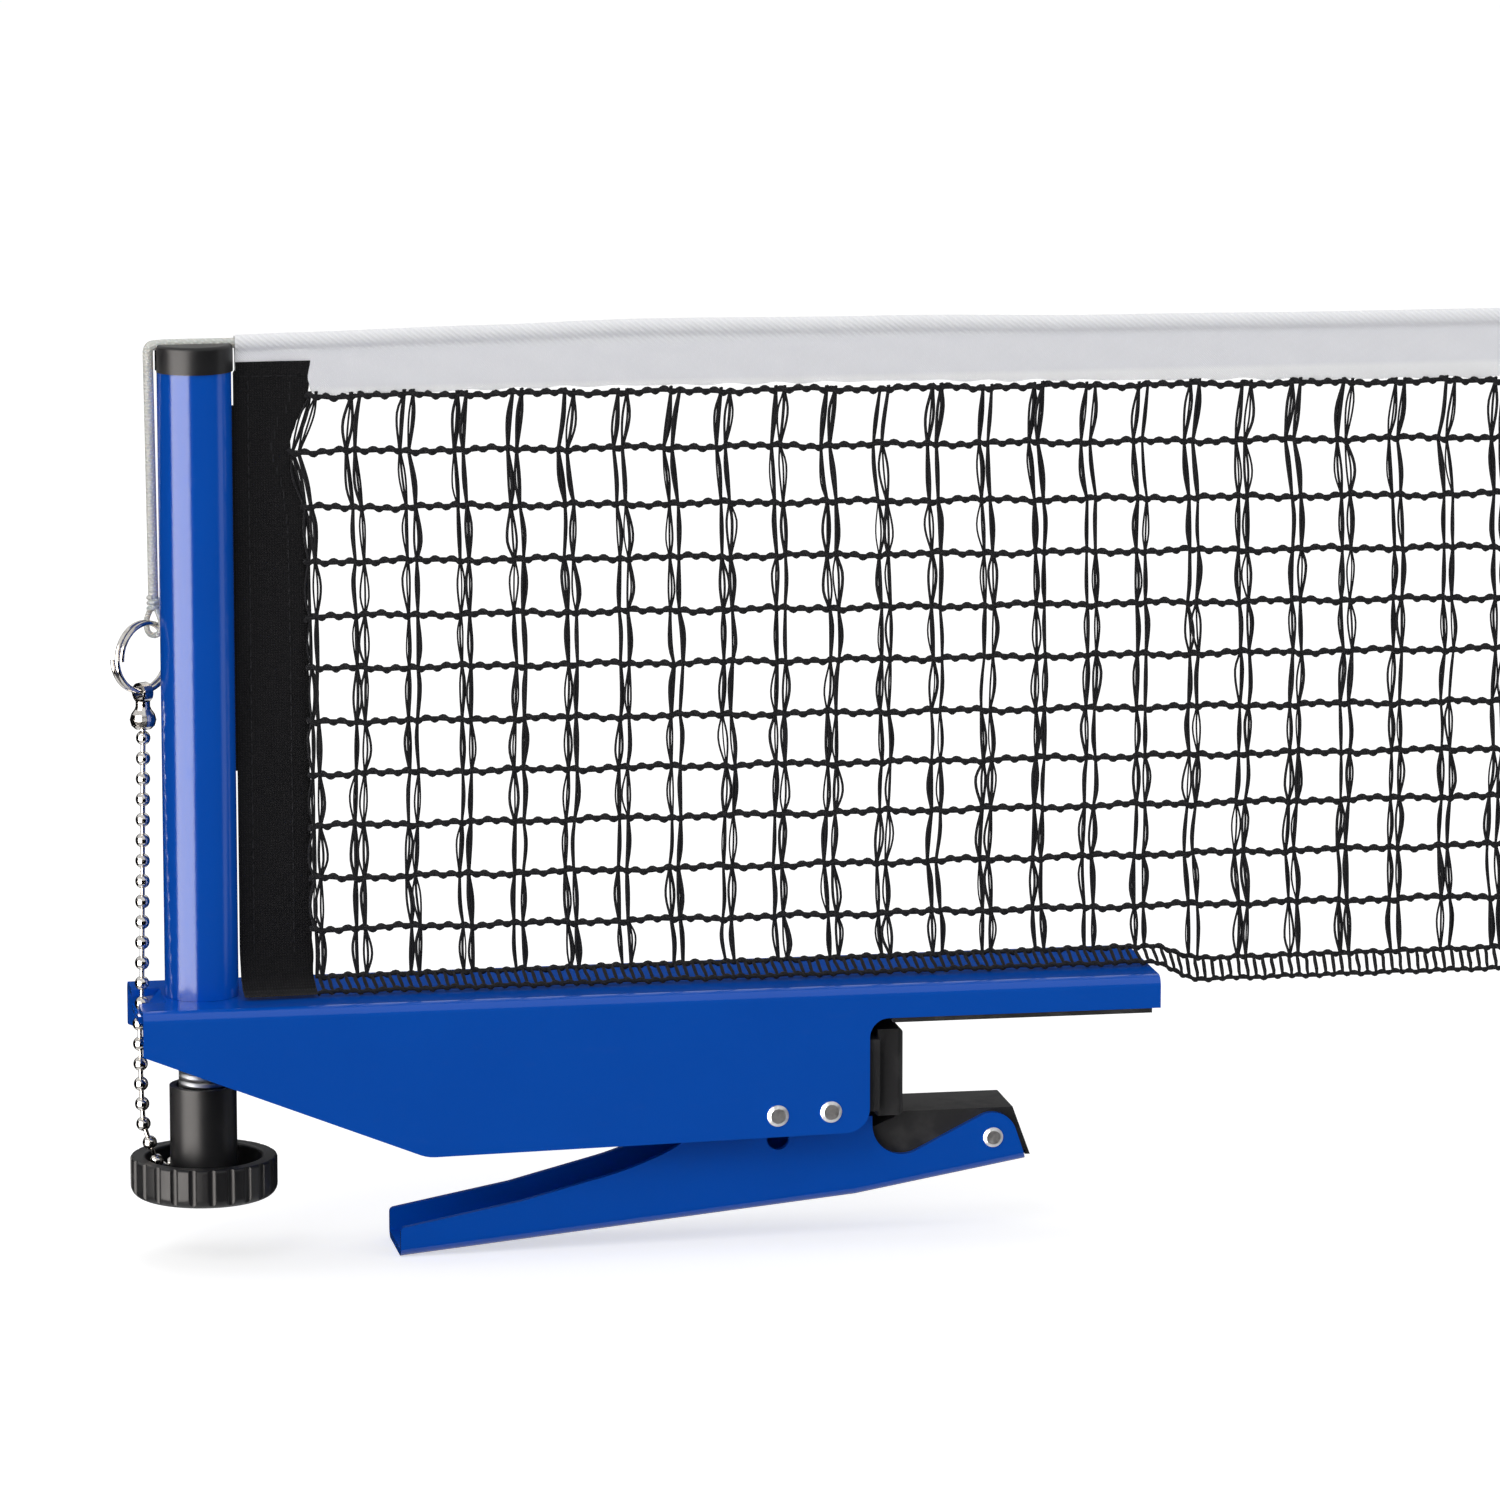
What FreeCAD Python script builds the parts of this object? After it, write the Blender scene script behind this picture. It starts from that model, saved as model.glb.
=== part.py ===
# Table tennis net clamp with its post and the length of net that hangs on it.
# Frame: millimetres, +X along the net over the table, +Y away from the viewer, +Z up.
# Origin: the table's upper side edge, where the pad under the arm meets the pad at the side,
# on the middle plane of the bracket.
import FreeCAD, Part
import math
import os
import Sketcher

document = FreeCAD.newDocument("net_clamp")
sheet = document.addObject("Spreadsheet::Sheet", "Sizes")

# Driving sizes in millimetres, degrees or counts
SIZES = {
    # Bracket: a channel of folded sheet, open below
    "bracket_width": 34.0,
    "steel_sheet": 1.5,
    "fold_radius": 2.2,
    "arm_length": 53.8,
    "post_reach": 144.9,
    "outer_overhang": 13.8,
    "outer_edge_depth": 1.4,
    "belly_reach": 100.5,
    "belly_depth": 24.7,
    "heel_reach": 7.9,
    "heel_depth": 23.0,
    "belly_radius": 8.0,
    "heel_radius": 5.0,
    "throat_radius": 4.0,
    # Chain hook: a notched tongue at the outer end of the bracket
    "hook_length": 5.7,
    "hook_notch_width": 14.2,
    "hook_width": 13.0,
    "hook_drop": 2.85,
    "hook_ramp": 2.5,
    "hook_slot_width": 2.0,
    "chain_margin": 1.4,
    # Rubber pads
    "pad_lip": 1.0,
    "pad_core": 5.3,
    "pad_lip_width": 33.6,
    "pad_start": 3.0,
    "pad_end_margin": 1.8,
    "stop_pad_depth": 5.5,
    "stop_pad_width": 26.0,
    "stop_pad_top": 2.2,
    "stop_pad_height": 18.4,
    "stop_pad_rounding": 1.2,
    "plug_margin": 1.6,
    # Rivets, bushes and lever bearing
    "rivet_radius": 2.0,
    "rivet_head_radius": 2.25,
    "rivet_head_height": 0.7,
    "pivot_reach": 27.3,
    "pivot_depth": 18.8,
    "stop_pin_spacing": 11.2,
    "stop_pin_rise": 0.4,
    "stop_spacer_radius": 3.0,
    "pivot_spacer_radius": 4.0,
    "spring_bush_radius": 3.1,
    # Lever: a channel of folded sheet, open above, measured from its pivot
    "lever_width": 19.0,
    "handle_length": 77.9,
    "handle_drop": 28.7,
    "handle_wall": 6.2,
    "toe_length": 54.2,
    "toe_drop": 13.3,
    "belly_length": 18.0,
    "belly_drop": 19.5,
    "toe_top_length": 50.0,
    "toe_top_drop": 0.8,
    "toe_radius": 5.3,
    "throat_length": 21.4,
    "throat_drop": 15.1,
    "lever_throat_radius": 6.5,
    "ear_half_width": 6.5,
    "ear_height": 6.2,
    "ear_radius": 6.0,
    "shoulder_length": 19.3,
    "shoulder_drop": 7.6,
    "shoulder_radius": 20.0,
    "rail_near_length": 30.7,
    "rail_near_drop": 12.2,
    "rail_far_length": 52.7,
    "rail_far_drop": 17.8,
    "rail_radius": 60.0,
    "lever_fold_radius": 2.0,
    "sight_hole_radius": 2.35,
    "sight_hole_length": 1.4,
    "sight_hole_drop": 6.7,
    "jaw_pin_length": 47.1,
    "jaw_pin_drop": 8.2,
    "jaw_pin_head_radius": 2.1,
    # Rubber shoe in the jaw, measured from the lever's pivot
    "shoe_drop": 2.2,
    "shoe_start": 27.9,
    "shoe_end": 51.6,
    "shoe_lip": 1.15,
    "shoe_lip_drop": 12.5,
    "shoe_heel_length": 18.3,
    "shoe_heel_drop": 6.7,
    "shoe_ramp_length": 26.1,
    "shoe_ramp_drop": 3.5,
    # Lever spring
    "spring_wire": 1.4,
    "spring_pitch": 1.9,
    "spring_turns": 5,
    "spring_fixed_leg": 13.2,
    "spring_leg_angle": 55.0,
    # Height adjuster under and inside the post
    "screw_radius": 4.0,
    "screw_top": 51.0,
    "screw_head_across": 11.0,
    "screw_head_height": 5.2,
    "spigot_length": 18.2,
    "spigot_thread_radius": 5.0,
    "spigot_bottom": 15.0,
    "spigot_washer_radius": 8.6,
    "spigot_washer_thickness": 1.0,
    "spigot_nut_across": 15.0,
    "spigot_nut_height": 5.0,
    "guide_pin_radius": 1.5,
    "guide_pin_height": 12.2,
    "clip_radius": 6.2,
    "clip_height": 2.0,
    "thrust_washer_radius": 5.5,
    "thrust_washer_thickness": 1.0,
    "lift_nut_start": 22.2,
    "lift_nut_height": 10.0,
    "lift_travel": 10.0,
    # Knob
    "knob_radius": 15.2,
    "knob_rim_top": 26.1,
    "knob_height": 8.3,
    "knob_edge_radius": 2.3,
    "knob_dish_radius": 12.0,
    "knob_floor": 3.1,
    "knob_sleeve_radius": 6.95,
    "knob_sleeve_top": 11.2,
    "knob_sleeve_bore": 5.7,
    "knob_grooves": 24,
    "knob_groove_radius": 1.0,
    "knob_groove_depth": 0.6,
    # Post
    "tube_radius": 7.6,
    "tube_wall": 1.0,
    "tube_length": 129.55,
    "hem_slot_width": 3.0,
    "hem_slot_start": 46.2,
    "cap_radius": 7.95,
    "cap_height": 5.6,
    "cap_plug_length": 4.4,
    "cap_rounding": 0.8,
    "cap_groove_inset": 0.6,
    "edge_rod_radius": 2.3,
    "edge_rod_length": 76.0,
    # Net
    "mesh_pitch": 10.95,
    "mesh_columns": 24,
    "mesh_rows": 11,
    "mesh_start": 122.95,
    "mesh_row_pitch": 11.2,
    "mesh_top": 131.2,
    "mesh_lean": 3.4,
    "mesh_cord": 1.0,
    "mesh_strand": 1.5,
    "mesh_thickness": 0.8,
    "band_width": 5.5,
    "band_thickness": 1.0,
    "band_front": 8.0,
    "band_transition": 12.0,
    "band_sag": 2.6,
    "tape_bottom": 131.9,
    "tape_thickness": 1.2,
    "tape_roll_radius": 1.75,
    "hem_height": 142.9,
    "sleeve_edge": 122.0,
    "sleeve_thickness": 1.6,
    "sleeve_top": 139.0,
    "sleeve_bottom_gap": 1.2,
    "sleeve_loop_wall": 1.2,
    # Cord, ring and chain
    "cord_radius": 1.15,
    "cord_bend": 3.0,
    "ring_radius": 7.1,
    "ring_wire": 1.0,
    "ring_pitch": 1.42,
    "ring_turns": 2,
    "ring_turned": 36.0,
    "ring_height": 78.0,
    "ring_offset": 10.7,
    "ring_set_back": 4.0,
    "cord_hold_angle": 65.0,
    "bead_radius": 1.5,
    "bead_pitch": 4.23,
    "link_radius": 0.5,
    "beads_above_hook": 13,
    "beads_below_hook": 10,
    "bell_height": 5.45,
    "bell_radius": 2.75,
    "bell_neck_radius": 1.5,
    "eyelet_radius": 2.1,
    "eyelet_bore": 1.45,
    "eyelet_width": 2.2,
    "eyelet_drop": 0.35,
    # Clearances
    "running_gap": 0.05,
    "fixed_gap": 0.02,
    "soft_gap": 0.3,
}

for row, (alias, number) in enumerate(SIZES.items(), start=1):
    sheet.set(f"A{row}", alias)
    sheet.set(f"B{row}", str(number))
    sheet.setAlias(f"B{row}", alias)
document.recompute()


class Size:
    """A number that also carries its formula in the names of the sheet."""

    def __init__(self, value, formula):
        self.value = float(value)
        self.formula = formula

    def __float__(self):
        return self.value

    def __add__(self, other):
        other = as_size(other)
        return Size(self.value + other.value, f"({self.formula} + {other.formula})")

    def __sub__(self, other):
        other = as_size(other)
        return Size(self.value - other.value, f"({self.formula} - {other.formula})")

    def __mul__(self, other):
        other = as_size(other)
        return Size(self.value * other.value, f"({self.formula} * {other.formula})")

    def __truediv__(self, other):
        other = as_size(other)
        return Size(self.value / other.value, f"({self.formula} / {other.formula})")

    def __neg__(self):
        return Size(-self.value, f"(-1 * {self.formula})")

    def __radd__(self, other):
        return as_size(other) + self

    def __rsub__(self, other):
        return as_size(other) - self

    def __rmul__(self, other):
        return as_size(other) * self


def as_size(item):
    """A plain number as a Size."""
    if isinstance(item, Size):
        return item
    return Size(item, f"({float(item):.9f})")


def root(size):
    """The square root of a Size."""
    return Size(math.sqrt(size.value), f"sqrt({size.formula})")


class Names:
    """The cells of the sheet by name, each as a Size."""

    def __getattr__(self, alias):
        return Size(sheet.get(alias), f"Sizes.{alias}")


S = Names()


def bind(item, path, size):
    """Ties one property of an object to its formula."""
    item.setExpression(path, as_size(size).formula)


# Places that several pieces share
web_top = S.pad_lip + S.pad_core + S.steel_sheet
web_underside = S.pad_lip + S.pad_core
inner_half = S.bracket_width / 2 - S.steel_sheet
stop_pin_reach = S.pivot_reach - S.stop_pin_spacing
stop_pin_depth = S.pivot_depth - S.stop_pin_rise
seat_rise = S.stop_pin_rise - S.stop_spacer_radius - S.running_gap
handle_slope = (S.handle_drop - S.belly_drop) / (S.handle_length + S.belly_length)
toe_slope = (S.belly_drop - S.toe_drop) / (S.toe_length - S.belly_length)
tube_bore = S.tube_radius - S.tube_wall
tube_bottom = web_top + S.running_gap
tube_top = tube_bottom + S.tube_length
screw_bore = S.screw_radius + S.running_gap
knob_bottom = S.knob_rim_top + S.knob_height
washer_top = S.spigot_bottom + S.running_gap
washer_bottom = washer_top + S.thrust_washer_thickness
cord_groove_floor = S.hem_height - S.cord_radius - S.soft_gap
outer_reach = S.post_reach + S.outer_overhang
hook_notch_reach = outer_reach - S.hook_length
chain_reach = outer_reach - S.chain_margin
cord_line_reach = S.post_reach + S.cap_radius + S.cord_radius + S.soft_gap - S.running_gap
hook_top = web_top - S.hook_drop
bell_top = S.ring_height - S.ring_radius - S.eyelet_drop - S.eyelet_radius
bell_bottom = bell_top - S.bell_height


def floor_slope(along):
    """The lever's floor rises gently up to its belly and faster from there to the toe."""
    return handle_slope if float(along) < float(S.belly_length) else toe_slope


def floor_bottom(along):
    """Height of the underside of the lever's floor, from the pivot."""
    return (along - S.belly_length) * floor_slope(along) - S.belly_drop


def floor_top(along):
    """Height of the upper side of the lever's floor, from the pivot."""
    slope = floor_slope(along)
    return floor_bottom(along) + S.steel_sheet * root(1 + slope * slope)


# Tools for sketched pieces
def new_body(label, along=0, across=0, up=0):
    """A body whose own frame stands at the given place."""
    body = document.addObject("PartDesign::Body", label)
    body.Label = label
    bind(body, ".Placement.Base.x", along)
    bind(body, ".Placement.Base.y", across)
    bind(body, ".Placement.Base.z", up)
    return body


def origin_feature(body, role):
    return [item for item in body.Origin.OriginFeatures if item.Role == role][0]


def new_sketch(body, name, plane, offset=0):
    """An empty sketch on one of the body's own planes, moved along the plane's normal."""
    sketch = body.newObject("Sketcher::SketchObject", f"{body.Name}_{name}")
    sketch.AttachmentSupport = [(origin_feature(body, plane), "")]
    sketch.MapMode = "FlatFace"
    bind(sketch, ".AttachmentOffset.Base.z", offset)
    return sketch


def hold(sketch, kind, geometry, size):
    """Holds the start of a line, or the middle of a circle, at a distance from the sketch's origin."""
    point = 1 if isinstance(sketch.Geometry[geometry], Part.LineSegment) else 3
    held = Sketcher.Constraint(kind, -1, 1, geometry, point, float(size))
    bind(sketch, f"Constraints[{sketch.addConstraint(held)}]", size)


def outline(body, name, plane, points, offset=0):
    """A closed outline of straight sides through named points."""
    sketch = new_sketch(body, name, plane, offset)
    corners = [FreeCAD.Vector(float(across), float(up), 0) for across, up in points]
    for start, end in zip(corners, corners[1:] + corners[:1]):
        sketch.addGeometry(Part.LineSegment(start, end))
    for side in range(len(points)):
        following = (side + 1) % len(points)
        sketch.addConstraint(Sketcher.Constraint("Coincident", side, 2, following, 1))
    for side, (across, up) in enumerate(points):
        hold(sketch, "DistanceX", side, as_size(across))
        hold(sketch, "DistanceY", side, as_size(up))
    return sketch


def rectangle(body, name, plane, left, right, low, high, offset=0):
    points = [(left, low), (right, low), (right, high), (left, high)]
    return outline(body, name, plane, points, offset)


def circles(body, name, plane, places, offset=0):
    """Circles given as (across, up, radius)."""
    sketch = new_sketch(body, name, plane, offset)
    for number, (across, up, radius) in enumerate(places):
        centre = FreeCAD.Vector(float(across), float(up), 0)
        sketch.addGeometry(Part.Circle(centre, FreeCAD.Vector(0, 0, 1), float(radius)))
        hold(sketch, "DistanceX", number, as_size(across))
        hold(sketch, "DistanceY", number, as_size(up))
        held = Sketcher.Constraint("Radius", number, float(radius))
        bind(sketch, f"Constraints[{sketch.addConstraint(held)}]", radius)
    return sketch


def hexagon(body, name, plane, across_flats, offset=0):
    """A six-sided outline with two corners on the sketch's first axis."""
    corner = across_flats / math.sqrt(3)
    turns = [math.radians(60 * number) for number in range(6)]
    points = [(corner * math.cos(turn), corner * math.sin(turn)) for turn in turns]
    return outline(body, name, plane, points, offset)


def extruded(body, kind, sketch, length, symmetric=False, backwards=False):
    """A pad or pocket; a pocket must take material away and a pad must add some."""
    before = body.Tip.Shape.Volume if body.Tip else 0.0
    feature = body.newObject(f"PartDesign::{kind}", f"{sketch.Name}_{kind.lower()}")
    feature.Profile = sketch
    feature.SideType = "Symmetric" if symmetric else "One side"
    feature.Reversed = backwards
    bind(feature, "Length", length)
    sketch.Visibility = False
    document.recompute()
    change = feature.Shape.Volume - before
    if change * (1 if kind == "Pad" else -1) < 1e-6:
        raise RuntimeError(f"{feature.Name} changed the volume by {change:.3f}")
    return feature


def pad(body, sketch, length, symmetric=False, backwards=False):
    return extruded(body, "Pad", sketch, length, symmetric, backwards)


def pocket(body, sketch, length, symmetric=False, backwards=False):
    return extruded(body, "Pocket", sketch, length, symmetric, backwards)


def edges_through(shape, points):
    """Names of the edges that pass through the given points."""
    names = []
    for number, edge in enumerate(shape.Edges, start=1):
        near = [edge.distToShape(Part.Vertex(point))[0] < 1e-4 for point in points]
        if any(near):
            names.append(f"Edge{number}")
    return names


def softened(body, name, points, radius, kind="Fillet"):
    """Rounds or bevels the edges through the given points of the body's last feature."""
    base = body.Tip
    corners = [FreeCAD.Vector(*(float(part) for part in point)) for point in points]
    names = edges_through(base.Shape, corners)
    if len(names) < len(corners):
        raise RuntimeError(f"{body.Name} {name}: {len(names)} edges for {len(corners)} points")
    feature = body.newObject(f"PartDesign::{kind}", f"{body.Name}_{name}")
    feature.Base = (base, names)
    bind(feature, "Radius" if kind == "Fillet" else "Size", radius)
    document.recompute()
    return feature


def lathe(body, name, points):
    """Turns an outline of (radius, height) about the body's own upright axis."""
    sketch = outline(body, name, "XZ_Plane", points)
    feature = body.newObject("PartDesign::Revolution", f"{body.Name}_{name}_turned")
    feature.Profile = sketch
    feature.ReferenceAxis = (sketch, ["V_Axis"])
    feature.Angle = 360
    sketch.Visibility = False
    document.recompute()
    return feature


def turned(label, points, along=0, across=0, up=0, sideways=False):
    """A round piece; lying along Y when sideways, with its own axis pointing away from the viewer."""
    body = new_body(label, along, across, up)
    if sideways:
        body.Placement.Rotation = FreeCAD.Rotation(FreeCAD.Vector(1, 0, 0), -90)
    lathe(body, "profile", points)
    return body


def tube_profile(inner, outer, low, high):
    return [(inner, low), (outer, low), (outer, high), (inner, high)]


def fixed_piece(label, shape, placement=None):
    """A piece whose shape is worked out from the sheet's sizes."""
    piece = document.addObject("Part::Feature", label)
    piece.Label = label
    piece.Shape = shape
    piece.Placement = placement or FreeCAD.Placement()
    return piece


# Tools for wires, cords and chains
def vector(along, across, up):
    return FreeCAD.Vector(float(along), float(across), float(up))


def tangent_arc(start, corner, end):
    """The arc that leaves start towards the corner and reaches end coming from the corner."""
    middle = (start + end) / 2
    half = (end - start).Length / 2
    leg = (corner - start).Length
    rise = corner - middle
    return Part.Arc(start, middle + rise * (half * (leg - half) / rise.Length ** 2), end)


def biarc(start, start_way, end, end_way):
    """Two arcs that join two points along the given directions."""
    chord = end - start
    ways = start_way + end_way
    spread = 2 * (1 - start_way.dot(end_way))
    along = chord.dot(ways)
    leg = (math.sqrt(along ** 2 + spread * chord.dot(chord)) - along) / spread
    first = start + start_way * leg
    last = end - end_way * leg
    middle = (first + last) / 2
    return [tangent_arc(start, first, middle), tangent_arc(middle, last, end)]


def coil_place(radius, pitch, turn):
    """A point on a coil about +Z, and its direction, after a number of radians."""
    place = FreeCAD.Vector(radius * math.cos(turn), radius * math.sin(turn), pitch * turn / (2 * math.pi))
    way = FreeCAD.Vector(-radius * math.sin(turn), radius * math.cos(turn), pitch / (2 * math.pi))
    return place, way.normalize()


def coil_arcs(radius, pitch, turn, turns):
    """Arcs of a coil about +Z from one turn on, a quarter turn or less at a time."""
    steps = math.ceil(4 * turns)
    arcs = []
    for step in range(steps):
        start, start_way = coil_place(radius, pitch, turn + 2 * math.pi * turns * step / steps)
        end, end_way = coil_place(radius, pitch, turn + 2 * math.pi * turns * (step + 1) / steps)
        arcs += biarc(start, start_way, end, end_way)
    return arcs


def wire_solid(label, curves, wire_radius):
    """A round wire along lines and arcs that follow each other smoothly."""
    path = Part.Wire([curve.toShape() for curve in curves])
    start = path.Edges[0].valueAt(path.Edges[0].FirstParameter)
    way = path.Edges[0].tangentAt(path.Edges[0].FirstParameter)
    section = Part.Wire(Part.makeCircle(wire_radius, start, way))
    solid = path.makePipeShell([section], True, False)
    wanted = math.pi * wire_radius ** 2 * path.Length
    print(f"{label}: wire volume {solid.Volume:.2f}, section times length {wanted:.2f}")
    return solid


def print_coil_gap(label, radius, pitch, turns, wire_radius):
    """Measures the least gap between the coil's turns on points."""
    count = 48
    places = [coil_place(radius, pitch, 2 * math.pi * step / count)[0] for step in range(int(turns * count) + 1)]
    gaps = []
    for first, place in enumerate(places):
        gaps += [(place - other).Length for other in places[first + count // 2:]]
    print(f"{label}: least gap between turns {min(gaps) - 2 * wire_radius:.2f}")


def print_radii(label, curves):
    radii = [curve.toShape().Curve.Radius for curve in curves if isinstance(curve, Part.Arc)]
    print(f"{label}: arc radii {', '.join(f'{radius:.1f}' for radius in radii)}")


# Bracket with its pads
def make_bracket():
    body = new_body("bracket")
    half = S.bracket_width / 2
    side = [
        (-outer_reach, web_top),
        (-outer_reach, -S.outer_edge_depth),
        (-S.belly_reach, -S.belly_depth),
        (-S.heel_reach, -S.heel_depth),
        (-S.heel_reach, S.pad_lip),
        (S.arm_length, S.pad_lip),
        (S.arm_length, web_top),
    ]
    pad(body, outline(body, "side", "XZ_Plane", side), S.bracket_width, symmetric=True)
    softened(body, "belly", [(-S.belly_reach, 0, -S.belly_depth)], S.belly_radius)
    softened(body, "heel", [(-S.heel_reach, 0, -S.heel_depth)], S.heel_radius)
    softened(body, "throat", [(-S.heel_reach, 0, S.pad_lip)], S.throat_radius)
    folds = [(0, half, web_top), (0, -half, web_top)]
    softened(body, "folds", folds, S.fold_radius)
    hollow = rectangle(body, "hollow", "YZ_Plane", -inner_half, inner_half, -S.belly_depth * 2, web_underside)
    pocket(body, hollow, (outer_reach + S.arm_length) * 2, symmetric=True)
    inner_folds = [(0, inner_half, web_underside), (0, -inner_half, web_underside)]
    softened(body, "inner_folds", inner_folds, S.fold_radius - S.steel_sheet)
    notch_half = S.hook_notch_width / 2
    notch = rectangle(body, "notch", "XY_Plane", -outer_reach * 2, -hook_notch_reach, -notch_half, notch_half)
    pocket(body, notch, web_top * 2, backwards=True)
    bend = hook_notch_reach + S.hook_ramp
    fold_shift = S.steel_sheet * 0.4
    tongue = [
        (-hook_notch_reach + S.steel_sheet, web_top),
        (-hook_notch_reach, web_top),
        (-bend, hook_top),
        (-outer_reach, hook_top),
        (-outer_reach, hook_top - S.steel_sheet),
        (-bend - fold_shift, hook_top - S.steel_sheet),
        (-hook_notch_reach - fold_shift, web_underside),
        (-hook_notch_reach + S.steel_sheet, web_underside),
    ]
    pad(body, outline(body, "tongue", "XZ_Plane", tongue), S.hook_width, symmetric=True)
    slot_half = S.hook_slot_width / 2
    slot = rectangle(body, "slot", "XY_Plane", -outer_reach * 2, -chain_reach, -slot_half, slot_half)
    pocket(body, slot, web_top, backwards=True)
    pocket(body, circles(body, "slot_end", "XY_Plane", [(-chain_reach, 0, slot_half)]), web_top, backwards=True)
    hole = S.rivet_radius + S.fixed_gap
    rivets = [(-S.pivot_reach, -S.pivot_depth, hole), (-stop_pin_reach, -stop_pin_depth, hole)]
    pocket(body, circles(body, "rivet_holes", "XZ_Plane", rivets), S.bracket_width * 2, symmetric=True)
    spigot_hole = [(-S.post_reach, 0, S.spigot_thread_radius + S.fixed_gap)]
    pocket(body, circles(body, "spigot_hole", "XY_Plane", spigot_hole), web_top * 2, backwards=True)
    return body


def make_arm_pad():
    body = new_body("arm_pad")
    core_half = inner_half - S.running_gap * 2
    lip_half = S.pad_lip_width / 2
    section = [
        (-lip_half, 0),
        (lip_half, 0),
        (lip_half, S.pad_lip),
        (core_half, S.pad_lip),
        (core_half, web_underside - S.fold_radius + S.steel_sheet),
        (core_half - S.fold_radius + S.steel_sheet, web_underside),
        (-core_half + S.fold_radius - S.steel_sheet, web_underside),
        (-core_half, web_underside - S.fold_radius + S.steel_sheet),
        (-core_half, S.pad_lip),
        (-lip_half, S.pad_lip),
    ]
    sketch = outline(body, "section", "YZ_Plane", section, -S.pad_start)
    pad(body, sketch, S.arm_length - S.pad_end_margin + S.pad_start)
    return body


def make_stop_pad():
    body = new_body("stop_pad")
    low = -S.stop_pad_top - S.stop_pad_height
    head_half = S.stop_pad_width / 2
    plug_half = inner_half - S.running_gap
    plug_back = stop_pin_reach - S.stop_spacer_radius - S.soft_gap
    head = rectangle(body, "head", "YZ_Plane", -head_half, head_half, low, -S.stop_pad_top)
    pad(body, head, S.stop_pad_depth, backwards=True)
    middle = low + S.stop_pad_height / 2
    front = [(0, head_half, middle), (0, -head_half, middle), (0, 0, low), (0, 0, -S.stop_pad_top)]
    softened(body, "front", front, S.stop_pad_rounding)
    plug_low = low + S.plug_margin
    plug_high = -S.stop_pad_top - S.plug_margin
    plug = rectangle(body, "plug", "YZ_Plane", -plug_half, plug_half, plug_low, plug_high, -S.stop_pad_depth)
    pad(body, plug, plug_back - S.stop_pad_depth, backwards=True)
    return body


# Rivets, bushes and spacers, each turned about its own axis and laid along Y
def rivet_profile(half_length, head_radius):
    head = half_length + S.rivet_head_height
    return [
        (0, -head),
        (head_radius * 0.7, -head),
        (head_radius, -half_length - S.rivet_head_height * 0.4),
        (head_radius, -half_length),
        (S.rivet_radius, -half_length),
        (S.rivet_radius, half_length),
        (head_radius, half_length),
        (head_radius, half_length + S.rivet_head_height * 0.4),
        (head_radius * 0.7, head),
        (0, head),
    ]


def make_rivets_and_bushes():
    wall_rivet = rivet_profile(S.bracket_width / 2, S.rivet_head_radius)
    turned("pivot_pin", wall_rivet, -S.pivot_reach, 0, -S.pivot_depth, sideways=True)
    turned("stop_pin", wall_rivet, -stop_pin_reach, 0, -stop_pin_depth, sideways=True)
    bore = S.rivet_radius + S.running_gap
    spacer = tube_profile(bore, S.stop_spacer_radius, -inner_half + S.running_gap, inner_half - S.running_gap)
    turned("stop_spacer", spacer, -stop_pin_reach, 0, -stop_pin_depth, sideways=True)
    bush_half = S.lever_width / 2 - S.steel_sheet - S.running_gap * 2
    bush = tube_profile(bore, S.spring_bush_radius, -bush_half, bush_half)
    turned("spring_bush", bush, -S.pivot_reach, 0, -S.pivot_depth, sideways=True)
    jaw_rivet = rivet_profile(S.lever_width / 2, S.jaw_pin_head_radius)
    jaw_reach = -S.pivot_reach + S.jaw_pin_length
    turned("jaw_pin", jaw_rivet, jaw_reach, 0, -S.pivot_depth - S.jaw_pin_drop, sideways=True)
    make_pivot_spacers(bore)


def make_pivot_spacers(bore):
    """One collar on each side of the lever, between it and the bracket's walls."""
    low = S.lever_width / 2 + S.running_gap
    high = inner_half - S.running_gap
    near = turned("pivot_spacer_near", tube_profile(bore, S.pivot_spacer_radius, -high, -low), sideways=True)
    far = turned("pivot_spacer_far", tube_profile(bore, S.pivot_spacer_radius, low, high), sideways=True)
    document.recompute()
    pair = document.addObject("Part::Compound", "pivot_spacers")
    pair.Label = "pivot_spacers"
    pair.Links = [near, far]
    bind(pair, ".Placement.Base.x", -S.pivot_reach)
    bind(pair, ".Placement.Base.z", -S.pivot_depth)


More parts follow.
